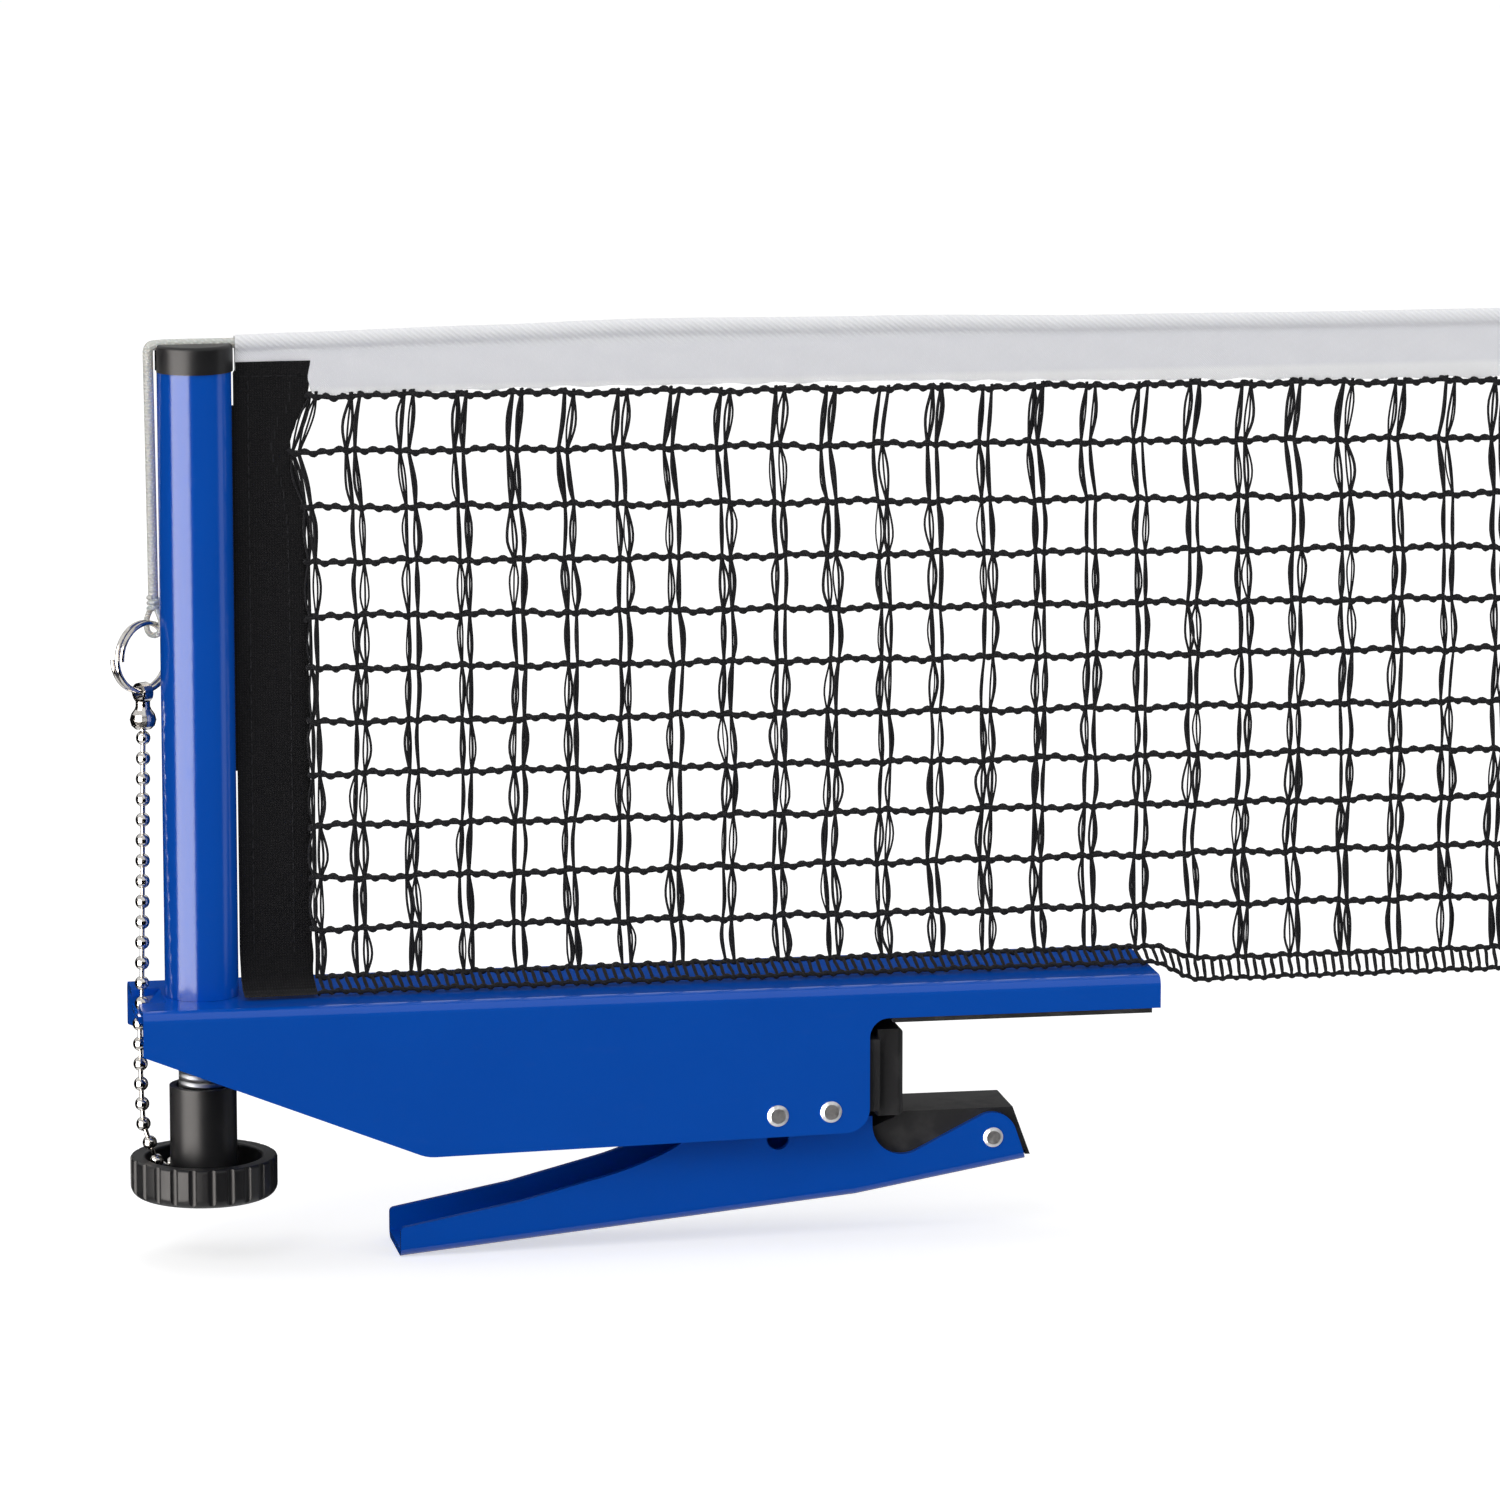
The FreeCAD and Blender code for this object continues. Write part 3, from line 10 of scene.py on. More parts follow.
import bpy
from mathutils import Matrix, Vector


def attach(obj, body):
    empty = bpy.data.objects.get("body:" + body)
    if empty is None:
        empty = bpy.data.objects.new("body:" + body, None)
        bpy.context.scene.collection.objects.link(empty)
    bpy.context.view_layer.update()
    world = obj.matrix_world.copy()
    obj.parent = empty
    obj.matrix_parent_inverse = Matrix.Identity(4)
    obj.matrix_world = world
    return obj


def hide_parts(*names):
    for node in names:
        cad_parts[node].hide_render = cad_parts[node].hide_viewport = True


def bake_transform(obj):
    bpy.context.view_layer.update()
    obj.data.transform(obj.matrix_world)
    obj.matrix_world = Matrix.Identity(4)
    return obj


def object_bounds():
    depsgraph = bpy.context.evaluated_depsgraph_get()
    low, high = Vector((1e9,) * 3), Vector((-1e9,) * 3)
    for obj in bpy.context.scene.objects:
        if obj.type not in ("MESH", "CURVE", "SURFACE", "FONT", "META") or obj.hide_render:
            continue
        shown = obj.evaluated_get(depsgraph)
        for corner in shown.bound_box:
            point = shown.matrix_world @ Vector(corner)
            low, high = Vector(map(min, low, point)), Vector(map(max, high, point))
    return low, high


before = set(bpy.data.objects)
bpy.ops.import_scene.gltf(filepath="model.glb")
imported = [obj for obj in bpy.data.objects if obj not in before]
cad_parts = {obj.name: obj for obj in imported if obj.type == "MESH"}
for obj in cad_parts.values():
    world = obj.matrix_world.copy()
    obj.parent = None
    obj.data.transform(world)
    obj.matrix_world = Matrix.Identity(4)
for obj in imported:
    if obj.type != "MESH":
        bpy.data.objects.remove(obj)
cad_low, cad_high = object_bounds()
MM = 0.001
print("CAD box in mm:", [round(value / MM, 1) for value in (*cad_low, *cad_high)])

# %% [markdown]
# ## The camera
# A product photographer stands well back with a long lens, so that parallel edges stay nearly parallel.
# The camera looks ten degrees down and ten degrees from the side, so the bracket's top shows as a thin band.

# %% Set up the camera
camera_data = bpy.data.cameras.new("camera")
camera_data.lens = 191.2
camera_data.sensor_width = 36.0
camera_data.clip_start = 0.05
camera_data.clip_end = 60.0
camera = bpy.data.objects.new("camera", camera_data)
bpy.context.scene.collection.objects.link(camera)
camera.location = Vector((-313.1, -1600.3, 357.7)) * MM
aim = Vector((-30.163, 0.0, 55.264)) * MM
camera.rotation_euler = (aim - camera.location).to_track_quat("-Z", "Y").to_euler()
bpy.context.scene.camera = camera
bpy.context.scene.view_settings.view_transform = "Standard"
print("camera at", [round(value, 3) for value in camera.location])

# %% [markdown]
# ## The studio
# The background is white paper. Glossy paint mirrors whatever stands around it, so a dark cloth hangs
# round the clamp, which keeps the blue deep. It has a gap at the right, which draws the thin line there,
# and one tall white card in front of it at the left draws the wide streak on the post.
# Only reflections see the cloth and the card. The lamps and the sky light the object from all sides.


# %% Floor, sky and lamps
def stage_material(name):
    """A material for the studio with its own empty node tree."""
    material = bpy.data.materials.new(name)
    material.use_nodes = True
    material.node_tree.nodes.clear()
    return material, material.node_tree.nodes, material.node_tree.links


def reflected_only(piece):
    """Hides a studio piece from everything but reflections."""
    piece.visible_camera = False
    piece.visible_diffuse = False
    piece.visible_transmission = False
    piece.visible_shadow = False


floor_level = cad_low.z - 0.0002
bpy.ops.mesh.primitive_plane_add(size=12, location=(0, 0, floor_level))
floor = bpy.context.object
floor.name = "floor"
material, nodes, links = stage_material("white_paper")
seen = nodes.new("ShaderNodeLightPath")
paper = nodes.new("ShaderNodeBsdfDiffuse")
paper.inputs["Color"].default_value = (0.62, 0.62, 0.62, 1)
glow = nodes.new("ShaderNodeEmission")
glow.inputs["Strength"].default_value = 0.6
lit_paper = nodes.new("ShaderNodeAddShader")
choice = nodes.new("ShaderNodeMixShader")
output = nodes.new("ShaderNodeOutputMaterial")
links.new(paper.outputs[0], lit_paper.inputs[0])
links.new(glow.outputs[0], lit_paper.inputs[1])
links.new(seen.outputs["Is Camera Ray"], choice.inputs[0])
links.new(paper.outputs[0], choice.inputs[1])
links.new(lit_paper.outputs[0], choice.inputs[2])
links.new(choice.outputs[0], output.inputs["Surface"])
floor.data.materials.append(material)
floor.visible_glossy = False

world = bpy.data.worlds.new("studio_sky")
bpy.context.scene.world = world
world.use_nodes = True
nodes, links = world.node_tree.nodes, world.node_tree.links
sky = nodes["Background"]
sky.inputs["Color"].default_value = (1, 1, 1, 1)
seen = nodes.new("ShaderNodeLightPath")
sky_strength = 0.62
total = nodes.new("ShaderNodeMath")
both = nodes.new("ShaderNodeMath")
both.use_clamp = True
links.new(seen.outputs["Is Camera Ray"], total.inputs[0])
links.new(seen.outputs["Is Glossy Ray"], total.inputs[1])
links.new(total.outputs[0], both.inputs[0])
links.new(seen.outputs["Is Transmission Ray"], both.inputs[1])
strength = nodes.new("ShaderNodeMapRange")
strength.inputs["To Min"].default_value = sky_strength
links.new(both.outputs[0], strength.inputs["Value"])
links.new(strength.outputs[0], sky.inputs["Strength"])


def lamp(name, place, power, size):
    """A square soft lamp that points at the middle of the clamp."""
    data = bpy.data.lights.new(name, "AREA")
    data.energy = power
    data.size = size
    light = bpy.data.objects.new(name, data)
    bpy.context.scene.collection.objects.link(light)
    light.location = place
    light.rotation_euler = (aim - Vector(place)).to_track_quat("-Z", "Y").to_euler()
    light.visible_glossy = False


lamp("key_lamp", (-1.3, -1.7, 1.7), 17.0, 1.2)
lamp("fill_lamp", (1.5, -1.5, 0.8), 6.0, 1.2)
lamp("top_lamp", (0.1, 0.5, 2.2), 9.0, 1.4)
print("floor at", round(floor_level / MM, 1), "mm")

# %% [markdown]
# ### Cloth and card
# A photographer shapes reflections with black and white boards. Here an open cylinder is the dark cloth:
# some of its faces are deleted to leave the gap. The card shines by itself, because a lamp would have to
# be aimed at it. It is left out of the light sampling as well, so it adds no light to matt surfaces.

# %% Dark cloth and white card for the reflections
gap_start, gap_end = 72, 112
bpy.ops.mesh.primitive_cylinder_add(
    vertices=72, radius=2.6, depth=3.4, end_fill_type="NOTHING", location=(0, 0, -0.7)
)
cloth = bpy.context.object
cloth.name = "dark_cloth"
bpy.ops.object.mode_set(mode="EDIT")
bpy.ops.mesh.select_mode(type="FACE")
bpy.ops.object.mode_set(mode="OBJECT")
for face in cloth.data.polygons:
    turn = math.degrees(math.atan2(face.center.x, -face.center.y))
    face.select = gap_start < turn < gap_end
bpy.ops.object.mode_set(mode="EDIT")
bpy.ops.mesh.delete(type="FACE")
bpy.ops.object.mode_set(mode="OBJECT")
material, nodes, links = stage_material("dark_cloth")
felt = nodes.new("ShaderNodeBsdfDiffuse")
felt.inputs["Color"].default_value = (0.012, 0.012, 0.013, 1)
output = nodes.new("ShaderNodeOutputMaterial")
links.new(felt.outputs[0], output.inputs["Surface"])
cloth.data.materials.append(material)
reflected_only(cloth)

card_turn = math.radians(52)
card_distance = 1.8
card_way = Vector((-math.sin(card_turn), -math.cos(card_turn), 0))
bpy.ops.mesh.primitive_plane_add(size=1, location=Vector((-0.145, 0, 0)) + card_way * card_distance)
card = bpy.context.object
card.name = "white_card"
card.scale = (2.08, 2.4, 1)
card.rotation_euler = (-card_way).to_track_quat("Z", "Y").to_euler()
material, nodes, links = stage_material("white_card")
shine = nodes.new("ShaderNodeEmission")
shine.inputs["Color"].default_value = (1.0, 0.95, 0.9, 1)
shine.inputs["Strength"].default_value = 11.0
output = nodes.new("ShaderNodeOutputMaterial")
links.new(shine.outputs[0], output.inputs["Surface"])
material.cycles.emission_sampling = "NONE"
card.data.materials.append(material)
reflected_only(card)
print("cloth faces left:", len(cloth.data.polygons))

# %% [markdown]
# ## Finishes
# Each finish is worked out from the object's own coordinates, so it needs no picture. The classes below
# let a finish be written as arithmetic: every plus or times on a signal adds one Math node.


# %% Signals and finishes
class Signal:
    """One output of a node, on which arithmetic adds Math nodes."""

    def __init__(self, finish, socket):
        self.finish = finish
        self.socket = socket

    def math(self, operation, *values):
        return self.finish.node("ShaderNodeMath", {"operation": operation}, dict(enumerate(values)))

    def __add__(self, other):
        return self.math("ADD", self, other)

    def __radd__(self, other):
        return self.math("ADD", other, self)

    def __sub__(self, other):
        return self.math("SUBTRACT", self, other)

    def __rsub__(self, other):
        return self.math("SUBTRACT", other, self)

    def __mul__(self, other):
        return self.math("MULTIPLY", self, other)

    def __rmul__(self, other):
        return self.math("MULTIPLY", other, self)

    def __truediv__(self, other):
        return self.math("DIVIDE", self, other)

    def wave(self, length):
        """A wave from 0 to 1 along this signal, given its length in millimetres."""
        turns = self * (2 * math.pi / length)
        return turns.math("SINE", turns) * 0.5 + 0.5

    def between(self, low, high):
        """0 below low, 1 above high, and even steps between them."""
        inputs = {"Value": self, "From Min": low, "From Max": high}
        return self.finish.node("ShaderNodeMapRange", {}, inputs)


class Finish:
    """A material on one Principled shader, with the object's coordinates in millimetres."""

    def __init__(self, name, **fixed):
        self.material = bpy.data.materials.new(name)
        self.material.use_nodes = True
        self.tree = self.material.node_tree
        self.shader = self.tree.nodes["Principled BSDF"]
        for label, value in fixed.items():
            self.shader.inputs[label.replace("_", " ")].default_value = value
        place = self.node("ShaderNodeTexCoord", output="Object")
        self.place = self.node("ShaderNodeVectorMath", {"operation": "SCALE"}, {0: place, "Scale": 1 / MM})
        self.x, self.y, self.z = self.parts(self.place)

    def node(self, kind, settings=None, inputs=None, output=0):
        """Adds a node: its settings first, then the values or signals of its sockets."""
        made = self.tree.nodes.new(kind)
        for label, value in (settings or {}).items():
            setattr(made, label, value)
        for label, value in (inputs or {}).items():
            self.feed(made.inputs[label], value)
        return Signal(self, made.outputs[output])

    def feed(self, socket, value):
        if isinstance(value, Signal):
            self.tree.links.new(value.socket, socket)
        else:
            socket.default_value = value

    def parts(self, vector):
        first = self.node("ShaderNodeSeparateXYZ", inputs={0: vector})
        owner = first.socket.node
        return [Signal(self, owner.outputs[number]) for number in range(3)]

    def noise(self, size, detail=2.0, stretch=(1, 1, 1)):
        """Noise from 0 to 1 whose grains have that size in millimetres."""
        scale = self.node("ShaderNodeMapping", inputs={"Vector": self.place, "Scale": stretch})
        return self.node("ShaderNodeTexNoise", inputs={"Vector": scale, "Scale": 1 / size, "Detail": detail})

    def colour(self, share, first, second):
        """Goes from the first colour to the second as share goes from 0 to 1."""
        inputs = {0: share, 6: (*first, 1) if isinstance(first, tuple) else first, 7: (*second, 1)}
        blend = self.node("ShaderNodeMix", {"data_type": "RGBA"}, inputs, 2)
        self.feed(self.shader.inputs["Base Color"], blend)
        return blend

    def roughness(self, share, low, high):
        self.feed(self.shader.inputs["Roughness"], share * (high - low) + low)

    def relief(self, height, depth):
        """Bumps of that depth in millimetres, where the height runs from 0 to 1."""
        inputs = {"Height": height, "Distance": depth * MM}
        self.feed(self.shader.inputs["Normal"], self.node("ShaderNodeBump", {}, inputs))


def dress(finish, *names):
    """Gives CAD nodes a finish."""
    for name in names:
        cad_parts[name].material_slots[0].material = finish.material
    print(finish.material.name, "on", *names)


print("finishes can now be written as arithmetic")

# %% [markdown]
# ### Blue powder coat
# Bracket, lever and post are sprayed with powder that melts in an oven. It sets as a deep, even blue with
# a faint orange peel, and the finest wear only dulls it.

# %% Blue powder coat
blue = Finish("blue_powder_coat", Specular_IOR_Level=0.42)
patches = blue.noise(22.0, 3.0)
peel = blue.noise(0.9, 1.0)
rubbed = blue.noise(5.0, 5.0, (1, 1, 4)).between(0.62, 0.8)
blue.colour(patches, (0.0, 0.073, 0.45), (0.0, 0.085, 0.5))
blue.roughness(rubbed * 0.6 + peel * 0.4, 0.15, 0.3)
blue.relief(peel, 0.006)
dress(blue, "bracket", "lever", "post_tube")

# %% [markdown]
# ### Black rubber and black plastic
# The pads are pressed rubber: dull, with a fine grain and some dust. Knob, cap, edge rod and spring bush
# are moulded nylon, which is a little smoother and shows soft grey highlights.

# %% Rubber and plastic
rubber = Finish("black_rubber", Specular_IOR_Level=0.3)
grain = rubber.noise(0.35, 3.0)
dust = rubber.noise(6.0, 4.0).between(0.5, 0.85)
rubber.colour(dust, (0.012, 0.012, 0.013), (0.035, 0.035, 0.036))
rubber.roughness(dust, 0.5, 0.72)
rubber.relief(grain, 0.03)
dress(rubber, "arm_pad", "stop_pad", "jaw_shoe")

plastic = Finish("black_nylon", Specular_IOR_Level=0.25)
grain = plastic.noise(0.25, 2.0)
worn = plastic.noise(9.0, 4.0).between(0.45, 0.8)
plastic.colour(worn, (0.012, 0.012, 0.013), (0.021, 0.021, 0.022))
plastic.roughness(worn * 0.5 + grain * 0.5, 0.3, 0.5)
plastic.relief(grain, 0.012)
dress(plastic, "knob", "post_cap", "edge_rod", "spring_bush")

# %% [markdown]
# ### Bare metals
# Rivets are soft steel and come out dull and dimpled from the press. Spacers, washers, nuts, collar,
# spigot and screw are zinc plated and faintly blue. Their threads are drawn as ridges in the finish, since
# the solids are plain there, and their grooves are painted darker as painted shade. The spring is drawn
# wire. Ring, chain and bell are nickel plated and bright.

# %% Rivet steel, zinc, spring wire and nickel
rivet = Finish("rivet_steel", Metallic=1.0)
pressed = rivet.noise(0.8, 3.0)
rivet.colour(pressed, (0.36, 0.36, 0.37), (0.72, 0.72, 0.73))
rivet.roughness(pressed, 0.24, 0.45)
rivet.relief(pressed, 0.08)
dress(rivet, "pivot_pin", "stop_pin", "jaw_pin", "guide_pin")

zinc = Finish("zinc_plate", Metallic=1.0)
bloom = zinc.noise(2.5, 4.0)
zinc.colour(bloom, (0.5, 0.52, 0.56), (0.7, 0.71, 0.73))
zinc.roughness(bloom, 0.22, 0.42)
zinc.relief(zinc.noise(0.5, 2.0), 0.01)
dress(zinc, "stop_spacer", "pivot_spacers", "spigot_washer", "spigot_nut", "screw_clip", "thrust_washer")


def threaded(name, pitch, low, high, axis_along):
    """Zinc plate with a screw thread round an upright axis, between two heights, grooves in painted shade."""
    finish = Finish(name, Metallic=1.0)
    turn = finish.y.math("ARCTAN2", finish.y, finish.x - axis_along)
    along = finish.z / pitch + turn / (2 * math.pi)
    ridge_and_groove_shade = along.math("PINGPONG", along, 0.5) * 2.0
    cut = finish.z.between(low, low + pitch) * (1.0 - finish.z.between(high - pitch, high))
    # The colour follows the thread, dark in the grooves and light on the crests: painted shade of the thread.
    finish.colour(ridge_and_groove_shade * cut, (0.28, 0.29, 0.31), (0.66, 0.67, 0.7))
    finish.roughness(finish.noise(1.5, 3.0), 0.25, 0.42)
    finish.relief(ridge_and_groove_shade * cut, 0.45)
    return finish


post_along = -144.9
screw = threaded("screw_thread", pitch=1.25, low=-24.0, high=60.0, axis_along=post_along)
dress(screw, "adjusting_screw", "lift_nut")
spigot = threaded("spigot_thread", pitch=1.5, low=-16.0, high=7.5, axis_along=post_along)
dress(spigot, "post_spigot")

wire = Finish("spring_wire", Metallic=1.0)
drawn = wire.noise(0.3, 3.0, (1, 6, 1))
wire.colour(drawn, (0.2, 0.2, 0.21), (0.42, 0.42, 0.44))
wire.roughness(drawn, 0.25, 0.4)
wire.relief(drawn, 0.01)
dress(wire, "lever_spring")

nickel = Finish("nickel_plate", Metallic=1.0)
stain = nickel.noise(1.6, 3.0)
nickel.colour(stain.between(0.35, 0.75), (0.62, 0.6, 0.57), (0.42, 0.4, 0.38))
nickel.roughness(stain, 0.07, 0.2)
nickel.relief(nickel.noise(0.9, 1.0), 0.012)
dress(nickel, "split_ring", "chain_connector", "ball_chain")

# %% [markdown]
# ### Cloth, yarn and cord
# The edge sleeve is a plain black weave. The net is knitted from fuzzy black yarn. The tape is a white
# twill whose ribs show as slanted lines where it turns over the cord, and that top is painted lighter as a
# painted highlight. The cord is a pale braid.

# %% Cloth, yarn and cord finishes
sleeve_cloth = Finish("black_weave", Specular_IOR_Level=0.08, Sheen_Weight=0.06, Sheen_Roughness=0.5)
threads = sleeve_cloth.x.wave(0.55) * sleeve_cloth.z.wave(0.5)
slub = sleeve_cloth.noise(2.5, 4.0, (1, 1, 0.2))
sleeve_cloth.colour(threads * 0.5 + slub * 0.5, (0.002, 0.002, 0.0025), (0.017, 0.017, 0.018))
sleeve_cloth.roughness(slub, 0.75, 0.95)
sleeve_cloth.relief(threads + slub * 0.5, 0.1)

yarn = Finish("black_yarn", Specular_IOR_Level=0.08, Sheen_Weight=0.04, Sheen_Roughness=0.4)
fuzz = yarn.noise(0.18, 4.0)
yarn.colour(fuzz, (0.004, 0.004, 0.0045), (0.03, 0.03, 0.033))
yarn.roughness(fuzz, 0.6, 0.9)
yarn.relief(fuzz, 0.08)

tape_cloth = Finish("white_twill", Sheen_Weight=0.1, Subsurface_Weight=0.05)
ribs = (tape_cloth.x + tape_cloth.z * 1.3).wave(1.45)
fold_and_highlight = tape_cloth.z.between(140.6, 143.6)
fine = (tape_cloth.x + tape_cloth.z).wave(0.5) * (tape_cloth.x - tape_cloth.z * 0.6).wave(0.42)
# Long upright streaks darken the white tape a little: painted shade of creases. They also vary its roughness.
crease_shade = tape_cloth.noise(7.0, 3.0, (1, 1, 0.35))
shade = ribs * fold_and_highlight * 0.55 + fine * 0.2 + crease_shade * 0.3
selvage = 1.0 - tape_cloth.z.between(132.6, 133.6)
weave_and_painted_shade = tape_cloth.colour(shade, (0.8, 0.8, 0.84), (0.93, 0.93, 0.94))
# The fold band at the top, where the tape turns over the cord, is mixed towards white: a painted highlight.
tape_cloth.colour(selvage * 0.7 + fold_and_highlight * 0.3, weave_and_painted_shade, (0.95, 0.95, 0.95))
tape_cloth.roughness(crease_shade, 0.7, 0.9)
tape_cloth.relief(ribs * fold_and_highlight + fine * 0.25, 0.14)

braid = Finish("pale_braid", Subsurface_Weight=0.1)
plait = (braid.z * 1.4 + braid.x).wave(1.3) * (braid.z * 1.4 - braid.y - braid.x * 0.6).wave(1.1)
grime = braid.noise(8.0, 3.0)
braid.colour(plait * 0.5 + grime * 0.5, (0.5, 0.5, 0.46), (0.78, 0.78, 0.75))
braid.roughness(grime, 0.4, 0.65)
braid.relief(plait, 0.12)
print("textiles:", *(finish.material.name for finish in (sleeve_cloth, yarn, tape_cloth, braid)))

# %% [markdown]
# ## Tools for soft pieces
# A yarn is a line with a thickness, so each bundle of yarns is one curve object with many splines that is
# then made a mesh. A cloth is a grid of places, row by row, whose wall comes from a Solidify modifier.


# %% Yarns and skins
def alone(piece):
    """Selects one piece and nothing else."""
    bpy.ops.object.select_all(action="DESELECT")
    piece.select_set(True)
    bpy.context.view_layer.objects.active = piece
    return piece


def yarns(name, strands, sides):
    """Many yarns as one mesh; each strand is a list of (place, radius) in millimetres."""
    curve = bpy.data.curves.new(name, "CURVE")
    curve.dimensions = "3D"
    curve.bevel_depth = MM
    curve.bevel_resolution = sides
    curve.use_fill_caps = True
    for strand in strands:
        spline = curve.splines.new("POLY")
        spline.points.add(len(strand) - 1)
        for point, (place, radius) in zip(spline.points, strand):
            point.co = (*(place * MM), 1)
            point.radius = radius
        spline.use_smooth = True
    piece = bpy.data.objects.new(name, curve)
    bpy.context.scene.collection.objects.link(piece)
    alone(piece)
    bpy.ops.object.convert(target="MESH")
    return bpy.context.object


def skin(name, rows, ring=False, capped=False):
    """A surface through rows of places in millimetres; a ring closes each row on itself."""
    count = len(rows[0])
    places = [place * MM for row in rows for place in row]
    faces = []
    for number in range(len(rows) - 1):
        for step in range(count if ring else count - 1):
            first = number * count + step
            second = number * count + (step + 1) % count
            faces.append((first, second, second + count, first + count))
    if capped:
        faces.append(tuple(range(count)))
        faces.append(tuple(range(len(places) - count, len(places))))
    mesh = bpy.data.meshes.new(name)
    mesh.from_pydata(places, [], faces)
    piece = bpy.data.objects.new(name, mesh)
    bpy.context.scene.collection.objects.link(piece)
    return alone(piece)


def walled(piece, thickness):
    """Gives a cloth its thickness, half to each side."""
    alone(piece)
    wall = piece.modifiers.new("wall", "SOLIDIFY")
    wall.thickness = thickness * MM
    wall.offset = 0.0
    bpy.ops.object.modifier_apply(modifier=wall.name)


def outward(piece, angle=None):
    """Turns all faces outwards and shades the piece smooth."""
    alone(piece)
    bpy.ops.object.mode_set(mode="EDIT")
    bpy.ops.mesh.select_all(action="SELECT")
    bpy.ops.mesh.normals_make_consistent(inside=False)
    bpy.ops.object.mode_set(mode="OBJECT")
    if angle is None:
        bpy.ops.object.shade_smooth()
    else:
        bpy.ops.object.shade_smooth_by_angle(angle=math.radians(angle))


def fit(piece, finish, slot, body, *replaced):
    """Gives a finished piece its material, its body and the CAD nodes it stands for."""
    piece.data.materials.clear()
    piece.data.materials.append(finish.material)
    if body:
        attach(piece, body)
    if replaced:
        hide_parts(*replaced)
    print(piece.name, len(piece.data.polygons), "faces")


def along_line(stops, at):
    """Value at a place, eased between (place, value) stops."""
    if at <= stops[0][0]:
        return stops[0][1]
    for (start, first), (end, second) in zip(stops, stops[1:]):
        if at <= end:
            share = (at - start) / (end - start)
            share = share * share * (3 - 2 * share)
            return first + (second - first) * share
    return stops[-1][1]


dice = random.Random(7)
print("yarns and cloths can now be drawn")

# %% [markdown]
# ## The white tape
# The tape is one strip of twill, 29 mm wide, folded over the cord and sewn to the net's first row.
# Its top rises a little to the middle and drops to the right, and it puckers where the net hangs on it.

# %% Tape
tape_start, tape_end = -136.6, 139.8
TAPE_TOP = [(-136.6, 144.6), (-125.0, 144.8), (-88.0, 145.4), (-53.0, 146.0), (-3.0, 145.5), (48.0, 144.6),
            (98.0, 144.2), (140.0, 144.1)]
TAPE_LOW = [(-136.6, 131.9), (-110.0, 131.8), (-70.0, 132.3), (-28.0, 132.0), (0.0, 131.9), (25.0, 131.3),
            (60.0, 130.7), (100.0, 129.9), (140.0, 129.5)]
roll_radius = 1.55
roll_half_turn = 152
cord_gap = 0.15
mesh_pitch = 10.95
mesh_start = -122.95


def cord_height(along):
    """Height of the cord's middle in the tape's fold."""
    return along_line(TAPE_TOP, along) - roll_radius - cord_gap


def tape_row(along):
    """The strip's section at one place: up the front, over the cord and down the back."""
    middle = cord_height(along)
    phase = 2 * math.pi * (along - mesh_start) / mesh_pitch
    low = along_line(TAPE_LOW, along) + 0.18 * math.cos(phase) + 0.1 * math.sin(along * 0.7)
    low += along_line([(-122.5, 5.0), (-120.5, 0.0)], along)
    front, back = [], []
    for step in range(9):
        share = step / 9
        height = low + (middle - 1.35 - low) * share
        pucker = 0.16 * (1 - share) * math.cos(phase) + 0.1 * math.sin(along * 0.31 + height)
        front.append(Vector((along, -0.42 - 0.12 * share - pucker * 0.6, height)))
        back.append(Vector((along, 0.42 + 0.12 * share - pucker * 0.6, height)))
    over = []
    for step in range(19):
        turn = math.radians(-roll_half_turn + 2 * roll_half_turn * step / 18)
        over.append(Vector((along, roll_radius * math.sin(turn), middle + roll_radius * math.cos(turn))))
    return front + over + back[::-1]


tape_count = 230
tape_places = [tape_start + (tape_end - tape_start) * step / tape_count for step in range(tape_count + 1)]
tape = skin("net_tape_cloth", [tape_row(along) for along in tape_places])
walled(tape, 0.3)
outward(tape, 50)
fit(tape, tape_cloth, "white_tape", "post", "net_tape")

# %% [markdown]
# ## The edge sleeve
# The net's end is sewn into a folded black band. The fold goes through the slot of the post and holds
# the rod inside it, and the band's edge is drawn in where the net's first rows pull on it.

# %% Sleeve panel
SLEEVE_EDGE = [(9.0, -121.8), (70.0, -121.9), (104.0, -122.2), (111.0, -123.0), (121.6, -125.4), (126.0, -124.2),
               (130.5, -121.6), (135.5, -121.5), (139.0, -120.8)]
sleeve_left = -136.9
sleeve_half = 0.72
hem_extra = 0.18


def sleeve_edge(height):
    return along_line(SLEEVE_EDGE, height)


def sleeve_sway(height, share):
    """How far the band bulges away from the viewer, more towards its free edge."""
    return share * (0.22 * math.sin(height * 0.11 + 0.6) + 0.12 * math.sin(height * 0.42 + share * 4))


def sleeve_row(height):
    """One ring round the folded band: along the front, round the edge and back."""
    right = sleeve_edge(height) + 0.15 * math.sin(height * 0.9)
    left = sleeve_left if height < 137 else -136.5
    half = sleeve_half + hem_extra * along_line([(135.9, 0.0), (136.3, 1.0)], height)
    forward = along_line([(8.4, 8.2), (9.6, 4.2), (11.5, 1.8), (17.0, 0.0)], height)
    sway = sleeve_sway(height, 1.0) - forward
    front, back = [], []
    for step in range(15):
        share = step / 14
        along = left + (right - half - left) * share
        lift = sleeve_sway(height, share) - forward
        front.append(Vector((along, -half + lift, height)))
        back.append(Vector((along, half + lift, height)))
    turns = [math.radians(-60 + 30 * step) for step in range(5)]
    middle = right - half
    edge = [Vector((middle + half * math.cos(turn), half * math.sin(turn) + sway, height)) for turn in turns]
    return front + edge + back[::-1]


